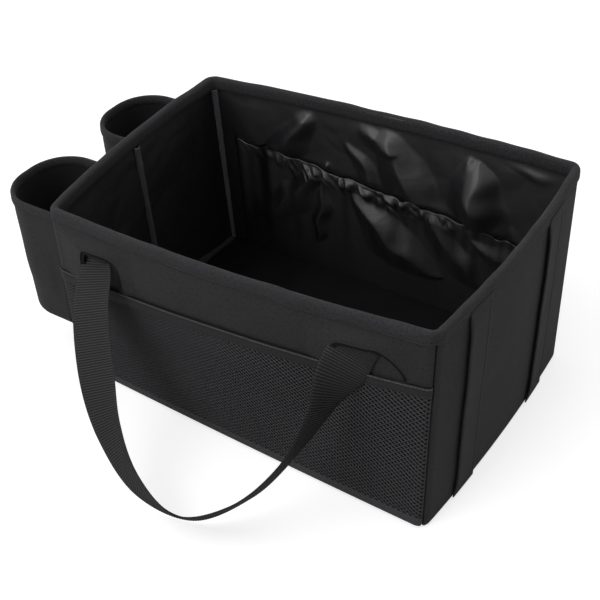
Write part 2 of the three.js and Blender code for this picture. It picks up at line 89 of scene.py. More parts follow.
# %% [markdown]
# ## The walls as a formula
#
# The box is a rounded rectangle whose corners lean and whose walls bow, because cloth pulls it out
# of true. A place p runs round it: 0 to 1 is the front wall, 1 to 2 the corner after it, 2 to 3 the
# right wall, and so on to 8. With p, a height and a depth, any layer of cloth can be laid out.
# Points of the plan are complex numbers, x + iy, so that a quarter turn is a product with -1j.

# %% Sizes of the box, in millimetres
LENGTH = 381
DEPTH = 254
HEIGHT = 203
CORNER_RADIUS = 11
CORNERS = [
    {"side": -1 - 1j, "rim": 9 - 2j, "rise": -9, "foot": -8 + 5j},
    {"side": 1 - 1j, "rim": 3j, "rise": 2, "foot": -3 - 5j},
    {"side": 1 + 1j, "rim": 2 + 5j, "rise": 4, "foot": 3 - 2j},
    {"side": -1 + 1j, "rim": -3 - 4j, "rise": -1, "foot": 0j},
]
RIM_BOW = [8.5, 7.5, 8, 8.5]
FOOT_BOW = [1.5, 5, 3, 3]


def mix(a, b, t):
    return a + (b - a) * t


def unit(vectors):
    return vectors / np.linalg.norm(vectors, axis=-1, keepdims=True)


def smooth(low, high, value):
    """0 below low, 1 above high and a soft step between."""
    t = np.clip((value - low) / (high - low), 0, 1)
    return t * t * (3 - 2 * t)


print("box:", LENGTH, "by", DEPTH, "by", HEIGHT, "mm")


# %% Plan of the walls and corners
def corner_plan(k, z):
    corner = CORNERS[k % 4]
    square = complex(corner["side"].real * LENGTH / 2, corner["side"].imag * DEPTH / 2)
    return square + mix(corner["foot"], corner["rim"], z / HEIGHT)


def wall_line(w, z, share):
    """The point at a share of a wall's line, its direction there, and the line's length."""
    start = corner_plan(w, z)
    run = corner_plan(w + 1, z) - start
    out = -1j * run / abs(run)
    bow = mix(FOOT_BOW[w % 4], RIM_BOW[w % 4], z / HEIGHT)
    at = start + run * share + out * bow * 4 * share * (1 - share)
    along = run + out * bow * 4 * (1 - 2 * share)
    return at, along / abs(along), abs(run)


def corner_arc(k, z):
    """The first direction, the turn, the cut along each wall and the centre of a corner."""
    before = wall_line((k + 3) % 4, z, 1)[1]
    after = wall_line(k % 4, z, 0)[1]
    turn = np.arccos((before * np.conj(after)).real)
    cut = CORNER_RADIUS * np.tan(turn / 2)
    centre = corner_plan(k, z) - before * cut + 1j * before * CORNER_RADIUS
    return before, turn, cut, centre


def flat_part(w, z):
    """The shares of a wall's line at which its corners give way to the wall itself."""
    size = wall_line(w, z, 0)[2]
    return corner_arc(w, z)[2] / size, 1 - corner_arc(w + 1, z)[2] / size


def wall_point(p, z, depth):
    """Points at places p, heights z and depths in from the outside, as arrays of x, y, z."""
    p, z, depth = np.broadcast_arrays(np.asarray(p, float) % 8, np.asarray(z, float), depth)
    plan = np.zeros(p.shape, complex)
    for w in range(4):
        share = p - 2 * w
        on_wall = (share >= 0) & (share <= 1)
        height = z[on_wall]
        at, along, _ = wall_line(w, height, mix(*flat_part(w, height), share[on_wall]))
        plan[on_wall] = at + 1j * along * depth[on_wall]
        on_corner = (share > 1) & (share < 2)
        before, turn, _, centre = corner_arc(w + 1, z[on_corner])
        facing = -1j * before * np.exp(1j * turn * (share[on_corner] - 1))
        plan[on_corner] = centre + (CORNER_RADIUS - depth[on_corner]) * facing
    return np.stack([plan.real, plan.imag, z], -1)


def rim_height(p):
    q = np.asarray(p, float) % 8
    rises = np.array([corner["rise"] for corner in CORNERS])
    w = (q // 2).astype(int)
    return HEIGHT + mix(rises[w], rises[(w + 1) % 4], np.minimum(q - 2 * w, 1))


print("rim at the corners:", rim_height([1.5, 3.5, 5.5, 7.5]), "mm")

# %% Places round the box
WALL_SPAN = [LENGTH - 2 * CORNER_RADIUS, DEPTH - 2 * CORNER_RADIUS] * 2
CORNER_SPAN = CORNER_RADIUS * math.pi / 2
CORNER_CARE = 2.5
KNOTS = np.arange(-2, 11)


def spans(corner_weight):
    corner = CORNER_SPAN * corner_weight
    return np.cumsum([0] + [WALL_SPAN[(k // 2) % 4] if k % 2 == 0 else corner for k in KNOTS[:-1]])


GIRTHS = spans(1)
SAMPLES = spans(CORNER_CARE)


def girth(p):
    """How far round the box a place is, in millimetres."""
    return np.interp(p, KNOTS, GIRTHS)


def places(start, end, step, extra=()):
    """Places from start to end about step millimetres apart, closer together round the corners."""
    first, last = np.interp([start, end], KNOTS, SAMPLES)
    evenly = np.linspace(first, last, max(2, round((last - first) / step)) + 1)
    return np.unique(np.round([*np.interp(evenly, SAMPLES, KNOTS), *extra], 6))


def place_share(w, value, z):
    """The share of a wall's line at a plan coordinate, x in front and behind, y at the ends."""
    share = 0.5
    for _ in range(6):
        at, along, size = wall_line(w, z, share)
        error = value - (at.real if w % 2 == 0 else at.imag)
        share = share + error / ((along.real if w % 2 == 0 else along.imag) * size)
    return share


def place_on_wall(w, value, z):
    """The place on a wall of the same plan coordinate."""
    first, last = flat_part(w, z)
    return 2 * w + (place_share(w, value, z) - first) / (last - first)


print("girth of the box:", round(float(girth(8) - girth(0))), "mm")

# %% [markdown]
# ## Softness
#
# Two kinds of relief make cloth look like cloth. Ripples are random waves added together, which
# give the slow unevenness of a stretched panel. Each call has a seed of its own, so every run gives
# the same cloth. Creases are listed one by one, where the real lining has slack to spare.

# %% Ripples and creases
CREASE_WANDER = 1.5
CREASE_GRAIN = 36
CREASE_UNDERSIDE = 1.3
SEAM_PULL = 2.4
SEAM_WIDE = 0.9
SWELL = 0.5
SWELL_WAVES = [(0.2, 95, 1), (0.05, 24, 2)]


def ripples(u, v, size, seed, waves=24):
    """A smooth random height, about one high, with bumps about size millimetres across."""
    rng = np.random.default_rng(seed)
    height = 0
    for _ in range(waves):
        angle = rng.uniform(0, math.tau)
        rate = math.tau / (size * rng.uniform(0.8, 2.0))
        phase = rng.uniform(0, math.tau)
        height = height + np.cos((u * math.cos(angle) + v * math.sin(angle)) * rate + phase)
    return height / math.sqrt(waves / 2)


def facet(u, v, start, end, wide, slope):
    """A crease that is lit from above: cloth slopes out along a leaf-shaped strip, then drops back."""
    run = np.subtract(end, start)
    size = np.hypot(*run)
    u, v = [at + CREASE_WANDER * ripples(u, v, CREASE_GRAIN, seed) for at, seed in ((u, 61), (v, 62))]
    t = ((u - start[0]) * run[0] + (v - start[1]) * run[1]) / size**2
    side = ((v - start[1]) * run[0] - (u - start[0]) * run[1]) / size * (1 if run[0] > 0 else -1)
    width = wide * np.sin(np.clip(t, 0, 1) * math.pi) ** 0.6 + 0.01
    above = side / width + 0.5
    share = np.clip(np.where(above > 0, above, -above / CREASE_UNDERSIDE), 0, 1)
    return slope * width * (0.5 * (1 - share) + 0.25 * (1 + np.cos(share * math.pi)))


def seam_sink(p):
    """How far the cloth is pulled in beside the seam of each corner."""
    share = (np.asarray(p, float) + 0.5) % 2
    near = np.minimum(share, 2 - share)
    return SEAM_PULL * np.exp(-((near * CORNER_SPAN / SEAM_WIDE) ** 2)) * (near < 1)


def from_corner(p):
    """How far a place is from the nearer end of its wall, as a share, and 0 on a corner."""
    share = np.asarray(p, float) % 2
    return np.where(share <= 1, np.minimum(share, 1 - share), 0)


def between_edges(p, z, foot, rim):
    """0 at the foot and at the rim of a wall, and 1 between, with soft steps over two ranges."""
    return smooth(*foot, z) * smooth(*rim, rim_height(p) - z)


def outside_relief(p, z):
    """How far in the outer cloth of a wall lies at a place: all layers on the wall share it."""
    hold = smooth(0, 0.12, from_corner(p)) * between_edges(p, z, (6, 30), (12, 32))
    swell = SWELL + sum(high * ripples(girth(p), z, size, seed) for high, size, seed in SWELL_WAVES)
    return seam_sink(p) - np.maximum(swell, 0) * hold


print("the seams pull the cloth in by", SEAM_PULL, "mm")

# %% [markdown]
# ## Building a piece of cloth
#
# A sheet joins rings of points. Each ring goes up the front of the cloth and back down behind it,
# so the sheet is a closed solid with a real thickness. It also stores how far each point is along
# and across the cloth, in metres, as a UV map named cloth: weaves are drawn with it.

# %% Pieces and sheets
scene_pieces = []


def add_piece(name, points, faces, flat, finish, nodes=()):
    mesh = bpy.data.meshes.new(name)
    mesh.from_pydata((points * MM).tolist(), [], faces)
    solid = bmesh.new()
    solid.from_mesh(mesh)
    bmesh.ops.recalc_face_normals(solid, faces=solid.faces)
    solid.to_mesh(mesh)
    solid.free()
    corners = np.zeros(len(mesh.loops), int)
    mesh.loops.foreach_get("vertex_index", corners)
    layer = mesh.uv_layers.new(name="cloth")
    layer.data.foreach_set("uv", (flat * MM)[corners].ravel())
    mesh.shade_smooth()
    mesh.materials.append(finish)
    piece = add_object(name, mesh)
    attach(piece, "root")
    if nodes:
        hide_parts(*nodes)
    scene_pieces.append(piece)
    return piece


def sheet(name, front, back, finish, slot, nodes=(), closed=False, along=None):
    """A sheet between two grids of points, front and back, of columns and rows."""
    rings = np.concatenate([front, back[:, ::-1]], 1)
    count, size = rings.shape[:2]
    index = np.arange(count * size).reshape(count, size)
    here = index if closed else index[:-1]
    after = np.roll(index, -1, 0) if closed else index[1:]
    faces = np.stack([here, np.roll(here, -1, 1), np.roll(after, -1, 1), after], -1)
    faces = faces.reshape(-1, 4).tolist()
    for ring in [] if closed else [index[0].tolist(), index[-1].tolist()]:
        for i in range(size // 2 - 1):
            faces.append([ring[i], ring[i + 1], ring[size - 2 - i], ring[size - 1 - i]])
    if along is None:
        along = np.cumsum(np.r_[0, np.linalg.norm(np.diff(rings, axis=0), axis=2).mean(1)])
    across = np.cumsum(np.r_[0, np.linalg.norm(np.diff(rings, axis=1), axis=2).mean(0)])
    flat = np.stack(np.meshgrid(along, across, indexing="ij"), -1).reshape(-1, 2)
    return add_piece(name, rings.reshape(-1, 3), faces, flat, finish, nodes)


def wall_sheet(name, p, z, face, back, finish, slot, nodes=()):
    """A sheet along the walls, between two depths at the same places and heights."""
    return sheet(name, wall_point(p, z, face), wall_point(p, z, back), finish, slot, nodes)


print("scene pieces to start with:", len(scene_pieces))

# %% [markdown]
# ## Materials
#
# The whole basket is black, so its materials differ in weave and gloss, not in colour. Real thread
# spacings are under half a millimetre, finer than a pixel of this view, so each weave is drawn
# coarser than life, at the size where its grain just shows.


# %% Helpers for nodes
def feed(tree, node, inputs):
    """Puts values, sockets or other nodes' first outputs on a node's inputs."""
    for key, value in inputs.items():
        if isinstance(value, bpy.types.Node):
            value = value.outputs[0]
        if isinstance(value, bpy.types.NodeSocket):
            tree.links.new(value, node.inputs[key])
        else:
            node.inputs[key].default_value = value


def add_node(tree, kind, inputs=None, **settings):
    node = tree.nodes.new("ShaderNode" + kind)
    for key, value in settings.items():
        setattr(node, key, value)
    feed(tree, node, inputs or {})
    return node


def linear(hex_colour):
    """An sRGB hex colour, such as 2b2b2e, as the linear colour that a shader takes."""
    parts = [int(hex_colour[i : i + 2], 16) / 255 for i in (0, 2, 4)]
    return [v / 12.92 if v <= 0.04045 else ((v + 0.055) / 1.055) ** 2.4 for v in parts] + [1]


def new_material(name):
    material = bpy.data.materials.new(name)
    material.use_nodes = True
    print("material:", name)
    return material, material.node_tree, material.node_tree.nodes["Principled BSDF"]


def thread_waves(tree, pitch, axes):
    """The cloth's map, and a sine wave along each axis that crosses zero once in each pitch."""
    cloth = add_node(tree, "UVMap", uv_map="cloth")
    turns = add_node(tree, "VectorMath", {0: cloth, 1: [math.pi / (pitch * MM)] * 3}, operation="MULTIPLY")
    parts = add_node(tree, "SeparateXYZ", {0: turns})
    return cloth, [add_node(tree, "Math", {0: parts.outputs[axis]}, operation="SINE") for axis in axes]


def shade_between(tree, tone, low, high, dark, light):
    """A colour that goes from dark to light while a tone goes from low to high."""
    share = add_node(tree, "MapRange", {"Value": tone, "From Min": low, "From Max": high})
    colours = {"Factor": share, 6: linear(dark), 7: linear(light)}
    return add_node(tree, "Mix", colours, data_type="RGBA").outputs[2]


print("a black cloth is about", round(linear("101011")[0], 4), "in linear light")

# %% [markdown]
# ### Woven polyester
#
# Oxford cloth is a plain weave: each thread goes over one and under the next. The product of two
# sine waves, one along each thread direction, is high on one square and low on its neighbour, as
# the crowns of such a weave are. A finer noise on top stands for the fluff and the uneven thread,
# and a broad one for patches where the black has faded.

# %% Woven cloth
FLUFF = 2.3
PATCH = 40
FADED = (0.44, 0.56)
TONES = (0.14, 0.36)


def woven_cloth(name, dark, light, pitch, relief, roughness, sheen, crown=0.12):
    material, tree, shader = new_material(name)
    cloth, (warp, weft) = thread_waves(tree, pitch, "XY")
    crowns = add_node(tree, "Math", {0: warp, 1: weft}, operation="MULTIPLY")
    noise = {"Vector": cloth, "Scale": 1 / (FLUFF * MM), "Detail": 5.0, "Roughness": 0.85}
    fluff = add_node(tree, "TexNoise", noise)
    height = add_node(tree, "Math", {0: crowns, 1: crown, 2: fluff}, operation="MULTIPLY_ADD")
    patches = add_node(tree, "TexNoise", {"Vector": cloth, "Scale": 1 / (PATCH * MM)})
    faded = add_node(tree, "MapRange", {"Value": patches, "To Min": FADED[0], "To Max": FADED[1]})
    tone = add_node(tree, "Math", {0: height, 1: faded}, operation="MULTIPLY")
    feed(tree, shader, {
        "Base Color": shade_between(tree, tone, *TONES, dark, light),
        "Normal": add_node(tree, "Bump", {"Height": height, "Distance": relief * MM}),
        "Roughness": roughness,
        "Sheen Weight": sheen,
        "Sheen Roughness": 0.5,
        "Specular IOR Level": 0.22,
    })
    return material


oxford = woven_cloth("oxford_polyester", "101011", "323234", 1.3, 0.3, 0.8, 0.03, 0.04)
binding = woven_cloth("binding_tape", "050505", "39393c", 1.5, 0.55, 0.85, 0.04, 0.03)
twill = woven_cloth("twill_tape", "28282a", "5a5a5e", 1.5, 0.3, 0.85, 0.05)
band_cloth = woven_cloth("band_tape", "1a1a1b", "28282a", 1.5, 0.12, 0.8, 0.04)
cup_lining = woven_cloth("cup_lining_cloth", "080808", "1c1c1d", 1.5, 0.2, 0.85, 0.02)
hem_cloth = woven_cloth("hem_tape", "0a0a0b", "1d1d1f", 1.5, 0.3, 0.85, 0.03)
# Painted shadow: a near-black tape that draws the shadow line under the edge of each arch.
arch_painted_shadow = woven_cloth("arch_hem_tape", "020202", "060606", 1.5, 0.2, 0.9, 0.0)
netting = woven_cloth("knitted_net", "28282a", "464649", 0.9, 0.15, 0.8, 0.04)

# %% [markdown]
# ### Webbing
#
# The weft of webbing is thick, and packs into ribs across its width. Between the ribs it is in
# shade, so the ribs are drawn in its colour as well as in its shape, from how far along it they are.

# %% Ribbed webbing
RIB_PITCH = 2.2
WARP_GRAIN = 1.1


def ribbed_webbing(name, dark, light):
    material, tree, shader = new_material(name)
    cloth, (wave,) = thread_waves(tree, RIB_PITCH, "X")
    ridge = add_node(tree, "Math", {0: wave}, operation="ABSOLUTE")
    noise = {"Vector": cloth, "Scale": 1 / (WARP_GRAIN * MM), "Detail": 3.0, "Roughness": 0.7}
    warp = add_node(tree, "TexNoise", noise)
    # Painted shade between the ribs, with a random grain along the warp; the same value gives the ribs
    # their relief.
    rib_shade_and_grain = add_node(tree, "Math", {0: ridge, 1: warp}, operation="MULTIPLY")
    feed(tree, shader, {
        "Base Color": shade_between(tree, rib_shade_and_grain, 0.28, 0.46, dark, light),
        "Normal": add_node(tree, "Bump", {"Height": rib_shade_and_grain, "Distance": 0.25 * MM}),
        "Roughness": 0.6,
        "Specular IOR Level": 0.25,
    })
    return material


webbing = ribbed_webbing("polyester_webbing", "010101", "2a2a2a")

# %% [markdown]
# ### Coated lining
#
# The lining is a thin taffeta with a polyurethane coat on its face. The coat makes it darker and
# far glossier than the outside, with broad soft highlights where it creases. A long noise bends the
# gloss as slack cloth does, and a fine one keeps the highlights from looking like plastic.

# %% Coated lining
THREADS_UP = 0.25
GLOSS_GRAIN = 1.2


def coated_cloth(name, hex_colour, roughness, crease, relief, gloss):
    material, tree, shader = new_material(name)
    cloth = add_node(tree, "UVMap", uv_map="cloth")
    noise = {"Vector": cloth, "Scale": 1 / (crease * MM), "Detail": 3.0, "Distortion": 0.6}
    creases = add_node(tree, "TexNoise", noise)
    grain = add_node(tree, "TexNoise", {"Vector": cloth, "Scale": 1 / (GLOSS_GRAIN * MM)})
    spread = {"Value": grain, "To Min": roughness - 0.05, "To Max": roughness + 0.07}
    feed(tree, shader, {
        "Base Color": linear(hex_colour),
        "Normal": add_node(tree, "Bump", {"Height": creases, "Distance": relief * MM}),
        "Roughness": add_node(tree, "MapRange", spread),
        "Tangent": add_node(tree, "Tangent", direction_type="UV_MAP", uv_map="cloth"),
        "Anisotropic": 0.72,
        "Anisotropic Rotation": THREADS_UP,
        "Specular IOR Level": gloss,
    })
    return material


taffeta = coated_cloth("coated_taffeta", "101013", 0.4, 34, 1.2, 0.5)
# Painted shade: the pocket, low on the back wall, takes a darker copy of the same lining.
pocket_taffeta_painted_shade = coated_cloth("pocket_taffeta_painted_shade", "08080a", 0.4, 34, 1.2, 0.5)
# Painted shade: a darker copy of the lining, with less gloss, for the basket's floor and the pocket's
# elastic, where shade falls.
matt_taffeta_painted_shade = coated_cloth("painted_shade_taffeta", "060607", 0.6, 40, 1.0, 0.08)

# %% [markdown]
# ### Thread and board
#
# Sewing thread is a twisted filament with a slight shine. The boards are hidden by cloth on the
# real basket, and only the floors of the cup holders show a little of theirs.


# %% Thread and board
def speckled(name, dark, light, grain, detail, finish):
    """A plain material with specks of a size in millimetres, and what relief can be added with."""
    material, tree, shader = new_material(name)
    at = add_node(tree, "TexCoord")
    noise = {"Vector": at.outputs["Object"], "Scale": 1 / (grain * MM), "Detail": detail}
    specks = add_node(tree, "TexNoise", noise)
    feed(tree, shader, {"Base Color": shade_between(tree, specks, 0.0, 1.0, dark, light), **finish})
    return material, tree, shader, specks


thread_shine = {"Roughness": 0.6, "Specular IOR Level": 0.25}
thread = speckled("polyester_thread", "0e0e0f", "1f1f21", 0.6, 2.0, thread_shine)[0]
board, tree, shader, fibres = speckled("pressed_board", "141415", "262628", 2, 5.0, {"Roughness": 0.85})
feed(tree, shader, {"Normal": add_node(tree, "Bump", {"Height": fibres, "Distance": 0.1 * MM})})
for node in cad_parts.values():
    node.data.materials.clear()
    node.data.materials.append(board)

# %% [markdown]
# ## Outer cloth of the four walls
#
# Four panels meet in seams at the middle of the corners and turn under at the foot. Each is a grid
# over the wall, sunk a little where the seam pulls it in.

# %% Outer panels
WALLS = {"front": -0.5, "right": 1.5, "back": 3.5, "left": 5.5}
FRONT = WALLS["front"]
SEAT = 0.3
CLOTH = 1.2
SEAM = 0.01
FOOT_ROUND = 4
RIM_COVER = 1.5
SEAM_STEPS = [0.03, 0.06, 0.09, 0.13, 0.18, 0.24]


def turned_edge(radius):
    """Heights and depths of an edge that turns under with a radius, from its foot up."""
    turn = np.linspace(0, math.pi / 2, 6)
    return radius * (1 - np.cos(turn)), radius * (1 - np.sin(turn))


def to_seams(start, step, extra=()):
    """Places from a corner's seam to the next, with extra ones where the cloth dips into each."""
    near = [place for k in SEAM_STEPS for place in (start + k, start + 2 - k)]
    return places(start + SEAM, start + 2 - SEAM, step, [*near, *extra])[:, None]


for side, start in WALLS.items():
    p = to_seams(start, 2.8)
    top = rim_height(p) - RIM_COVER
    rise = np.linspace(0, 1, 66)[1:]
    foot_z, foot_depth = turned_edge(FOOT_ROUND)
    z = np.concatenate([np.tile(foot_z, (len(p), 1)), mix(FOOT_ROUND, top, rise)], 1)
    depth = np.concatenate([foot_depth, 0 * rise]) + outside_relief(p, z)
    inner_z = np.concatenate([z[:, :1] + CLOTH, z[:, 1:]], 1)
    back = wall_point(p, inner_z, depth + np.where(z > 0, CLOTH, 0))
    panel = sheet(f"{side}_cloth", wall_point(p, z, depth), back, oxford, "oxford_fabric",
                  [f"outer_{side}_panel"])
print("outer panels:", len(scene_pieces))

# %% [markdown]
# ## Cloth under the base and on the floor
#
# A patch with four curved edges can be filled by a Coons patch: blend the front edge into the back
# edge, blend the left edge into the right edge, add both, and take off what the four corners count
# twice. It follows bowed walls exactly.

# %% Base cloth and floor lining
TURN_IN = 4
LINING_IN = 4.8
LINING = 0.8
INSIDE = LINING_IN + LINING
FLOOR_Z = 5.0
FLOOR_RIPPLE = 0.8
ALONG_FLOOR = np.linspace(0, 1, 90)[:, None]
ACROSS_FLOOR = np.linspace(0, 1, 64)[None, :]


def floor_patch(depth, z):
    s, t = ALONG_FLOOR, ACROSS_FLOOR
    front = wall_point(-0.5 + 2 * s, z, depth)
    back = wall_point(5.5 - 2 * s, z, depth)
    left = wall_point(7.5 - 2 * t, z, depth)
    right = wall_point(1.5 + 2 * t, z, depth)
    s, t = s[..., None], t[..., None]
    ends = mix(mix(front[:1], front[-1:], s), mix(back[:1], back[-1:], s), t)
    return mix(front, back, t) + mix(left, right, s) - ends


base_low = floor_patch(TURN_IN + SEAT, 0)
base_cloth = sheet("base_cloth", base_low, base_low + [0, 0, CLOTH], oxford, "oxford_fabric",
                   ["base_outer_fabric"])
floor_top = floor_patch(INSIDE + SEAT, FLOOR_Z + LINING)
from_edge = np.minimum(np.minimum(ALONG_FLOOR, 1 - ALONG_FLOOR), np.minimum(ACROSS_FLOOR, 1 - ACROSS_FLOOR))
waves = np.abs(ripples(floor_top[..., 0], floor_top[..., 1], 90, 5))
floor_top[..., 2] += FLOOR_RIPPLE * waves * smooth(0, 0.1, from_edge)
# The floor lining takes the darker copy of the lining: its colour is painted shade.
floor_lining = sheet("floor_lining", floor_top, floor_top - [0, 0, LINING], matt_taffeta_painted_shade, "coated_lining",
                     ["base_lining"])
print("floor lining:", len(floor_lining.data.polygons), "faces")

# %% [markdown]
# ## Binding over the rim
#
# A strip of cloth is folded over the edge of the box and sewn through. Its section is drawn once,
# as depth in from the wall and drop from the top, and swept round all four walls. A slow ripple
# moves the edge up and down, because nobody sews a binding dead straight.

# %% Rim binding
TRIM = 0.9
RIM_LEG_OUT = 10
YOKE_THICK = 0.9
RIM_INNER = INSIDE + SEAT + TRIM
RIM_RIPPLE = 0.35
RIM_CURVE = [(0, 10), (0, 7), (0, 4), (0.3, 2), (1.1, 0.7), (2.2, 0.15), (3.6, 0), (5.0, 0.15), (6.3, 0.7),
             (7.5, 2), (7.9, 4.5), (8.0, 8), (8.0, 12)]


def front_share(p):
    """1 on the front wall, where the binding also covers the upper panel, and 0 elsewhere."""
    q = (np.asarray(p, float) + 0.5) % 8
    return smooth(0, 0.4, q) * smooth(0, 0.4, 2 - q)


def rim_face(p):
    """How deep the outside of the binding lies."""
    return -SEAT - TRIM - front_share(p) * (YOKE_THICK + SEAT)


def folded_skin(curve):
    """Steps from the face of a folded strip to its other side, as drop and depth."""
    return unit(np.gradient(curve, axis=0)) * TRIM


rim_p = places(0, 8, 2.4)[:-1, None]
rim_along = girth(rim_p)
curve = np.array(RIM_CURVE)
reach = curve[:, 0] / curve[-1, 0]
lean = RIM_RIPPLE * ripples(rim_along, 0, 60, 21)
face_depth = mix(rim_face(rim_p), RIM_INNER, reach) + lean * np.sin(reach * math.pi)
face_z = rim_height(rim_p) - curve[:, 1] - RIM_RIPPLE * ripples(rim_along, reach * 8, 34, 22)
skin = folded_skin(curve)
rim_tape = sheet("rim_tape", wall_point(rim_p, face_z, face_depth),
                 wall_point(rim_p, face_z - skin[:, 0], face_depth - skin[:, 1]),
                 binding, "binding_tape", ["rim_binding"], closed=True)
print("rim binding:", len(rim_tape.data.polygons), "faces")

# %% [markdown]
# ## Lining of the walls
#
# The lining is sewn in at the rim and at the corners and hangs loose between them. On the back wall
# the slack gathers in a few long folds, and those make nearly all the highlights that the inside
# shows, so they are listed one by one.

# %% Wall linings
LINING_FOOT = FLOOR_Z + LINING + SEAT
RIM_LEG_IN = 12
HEM_ROLL = 2.4
HEM_TALL = 2.6
POUCH_TOP_LEFT = 139
POUCH_TOP_RIGHT = 106
BACK_START = float(girth(4))
# Each crease: where it starts and ends, along from the right end of the wall and up, its width, its slope.
BACK_FACETS = [
    ((310, 130), (256, 192), 15, 0.7),
    ((348, 40), (238, 138), 19, 0.8),
    ((208, 196), (160, 172), 12, 0.42),
    ((176, 200), (104, 100), 24, 0.48),
    ((214, 170), (164, 106), 11, 0.42),
    ((100, 92), (80, 184), 20, 0.5),
    ((88, 186), (42, 100), 26, 0.45),
    ((56, 193), (-4, 192), 9, 0.35),
]


def pouch_top(p):
    """The upper edge of the gathered pocket on the back wall."""
    return mix(POUCH_TOP_RIGHT, POUCH_TOP_LEFT, np.asarray(p) - 4)


for side, start in WALLS.items():
    pocketed = side == "back"
    p = places(start + SEAM, start + 2 - SEAM, 2.0 if pocketed else 3.0)[:, None]
    z = mix(LINING_FOOT, rim_height(p) - RIM_COVER, np.linspace(0, 1, 120 if pocketed else 75))
    along = girth(p)
    slack = np.abs(ripples(along, z, 90, 11)) + 0.2 * np.abs(ripples(along, z, 30, 12))
    hem = HEM_ROLL * np.exp(-(((z - LINING_FOOT) / HEM_TALL) ** 2))
    if pocketed:
        slack = slack + sum(facet(along - BACK_START, z, *crease) for crease in BACK_FACETS)
        slack = slack * smooth(-4, 8, z - pouch_top(p))
        hem = 0
    sewn_foot = (LINING_FOOT, LINING_FOOT + 20)
    slack = slack * smooth(0, 0.1, from_corner(p)) * between_edges(p, z, sewn_foot, (13, 26))
    lining = wall_sheet(f"{side}_coated_lining", p, z, INSIDE + slack + hem, LINING_IN + slack, taffeta,
                        "coated_lining", [f"{side}_lining"])
    print(lining.name, "stands in by", round(float(slack.max()), 1), "mm")

# %% [markdown]
# ## Tape in the corners and over the folds
#
# Matte tape covers the lining's seams. Each end wall has a fold down its middle, where the tape
# stands up as a ridge. A turned hem runs along the foot of each end wall.

# %% Inside tapes
FOLD_SHARE = 4 / DEPTH
TAPES = {
    "corner_tape_front_right": (1.5, 0.5, 0.3, 1.0),
    "corner_tape_back_right": (3.5, 0.5, 0.3, 1.0),
    "corner_tape_back_left": (5.5, 0.5, 0.5, 0.55),
    "corner_tape_front_left": (7.5, 0.5, 0.3, 1.0),
    "fold_tape_right": (2.5, FOLD_SHARE, 3.6, 0.7),
    "fold_tape_left": (6.5, FOLD_SHARE, 3.6, 0.7),
}
for node, (middle, half, crown, foot_share) in TAPES.items():
    share = np.linspace(0, 1, 13)[:, None]
    z = mix(LINING_FOOT, rim_height(middle - half) - RIM_LEG_IN - SEAT, np.linspace(0, 1, 90))
    narrow = mix(foot_share, 1, z / HEIGHT) * (1 + 0.07 * ripples(z, 0, 14, 31))
    p = np.clip(middle + (2 * share - 1) * half * narrow, middle - half, middle + half)
    back = INSIDE + SEAT + (crown + 0.25 * ripples(z, 0, 20, 32)) * np.sin(share * math.pi)
    name = node.replace("corner_tape", "tape").replace("fold_tape", "ridge")
    wall_sheet(name, p, z, back + TRIM, back, twill, "binding_tape", [node])
print("inside tapes:", len(TAPES))

# %% Welt along the foot of each end wall
WELT_THICK = 0.9
for side, middle in (("right", 2.5), ("left", 6.5)):
    p = places(middle - 0.9, middle + 0.9, 2)[:, None]
    turn = np.linspace(0, math.pi / 2, 8)
    size = 4 + 0.8 * ripples(girth(p), 0, 22, 33)
    z = LINING_FOOT + 1.2 + size * np.sin(turn)
    depth = INSIDE + SEAT + 2 + size * np.cos(turn)
    welt = sheet(f"welt_{side}", wall_point(p, z, depth), wall_point(p, z - WELT_THICK, depth - WELT_THICK),
                 hem_cloth, "binding_tape")
    print(welt.name, "is", round(float(size.mean()), 1), "mm high")

# %% [markdown]
# ## Upper front panel
#
# The panel above the net pocket has an arch cut over each end of the handle, so that the webbing
# can come out from under it. The arch is a superellipse, and the cloth swells over the webbing.

# %% Handle route, which the arches follow
WEB_WIDTH = 38
WEB_THICK = 1.6
WEB_STAND = WEB_THICK / 2 + 4 * SEAT
WEB_STATIONS = [
    ((-133, WEB_STAND, 168), (0.97, 0, 0.22)),
    ((-131.5, 2.9, 158), (0.96, 0, 0.25)),
    ((-127, 13.5, 146), (0.94, 0.2, 0.3)),
    ((-118, 31.5, 130), (0.92, 0.3, 0.36)),
    ((-96.5, 59.2, 94), (0.89, 0.34, 0.41)),
    ((-69.5, 83.9, 58), (0.82, 0.08, 0.56)),
    ((-29, 102.1, 29), (0.44, -0.11, 0.89)),
    ((22, 103.3, 19), (0.1, -0.59, 0.8)),
    ((65, 79.3, 41), (0.07, -0.83, 0.55)),
    ((95, 53, 81), (0.11, -0.88, 0.47)),
    ((113, 28.4, 125), (-0.13, -0.82, 0.55)),
    ((118, 14.5, 147), (-0.6, -0.4, 0.5)),
    ((122.5, 2.9, 163), (-0.9, 0, 0.42)),
    ((126, WEB_STAND, 173), (-0.9, 0, 0.42)),
]
print("stations of the handle:", len(WEB_STATIONS))

# %% Upper panel
NET_TOP_LEFT = 127
NET_TOP_RIGHT = 154
YOKE_LAP = 1.2
ARCH_COVER = 44
# An arch's hem is how far its strip of painted shadow reaches down below the arch's edge, in mm.
ARCHES = {
    "left": {"x": WEB_STATIONS[0][0][0], "left": 14, "right": 31, "rise": 38, "power": (4, 4),
             "swell": 5.6, "hem": 4.2, "strap": -132},
    "right": {"x": WEB_STATIONS[-1][0][0] + 18, "left": 38, "right": 25, "rise": 26, "power": (6, 1.4),
              "swell": 5, "hem": 3, "strap": 126},
}
for arch in ARCHES.values():
    stops = {"at": arch["x"], "from": arch["x"] - arch["left"], "to": arch["x"] + arch["right"],
             "middle": arch["strap"]}
    arch.update({key: float(place_on_wall(0, x, NET_TOP_RIGHT)) for key, x in stops.items()})


def net_top(p):
    return mix(NET_TOP_LEFT, NET_TOP_RIGHT, np.clip(p, 0, 1))


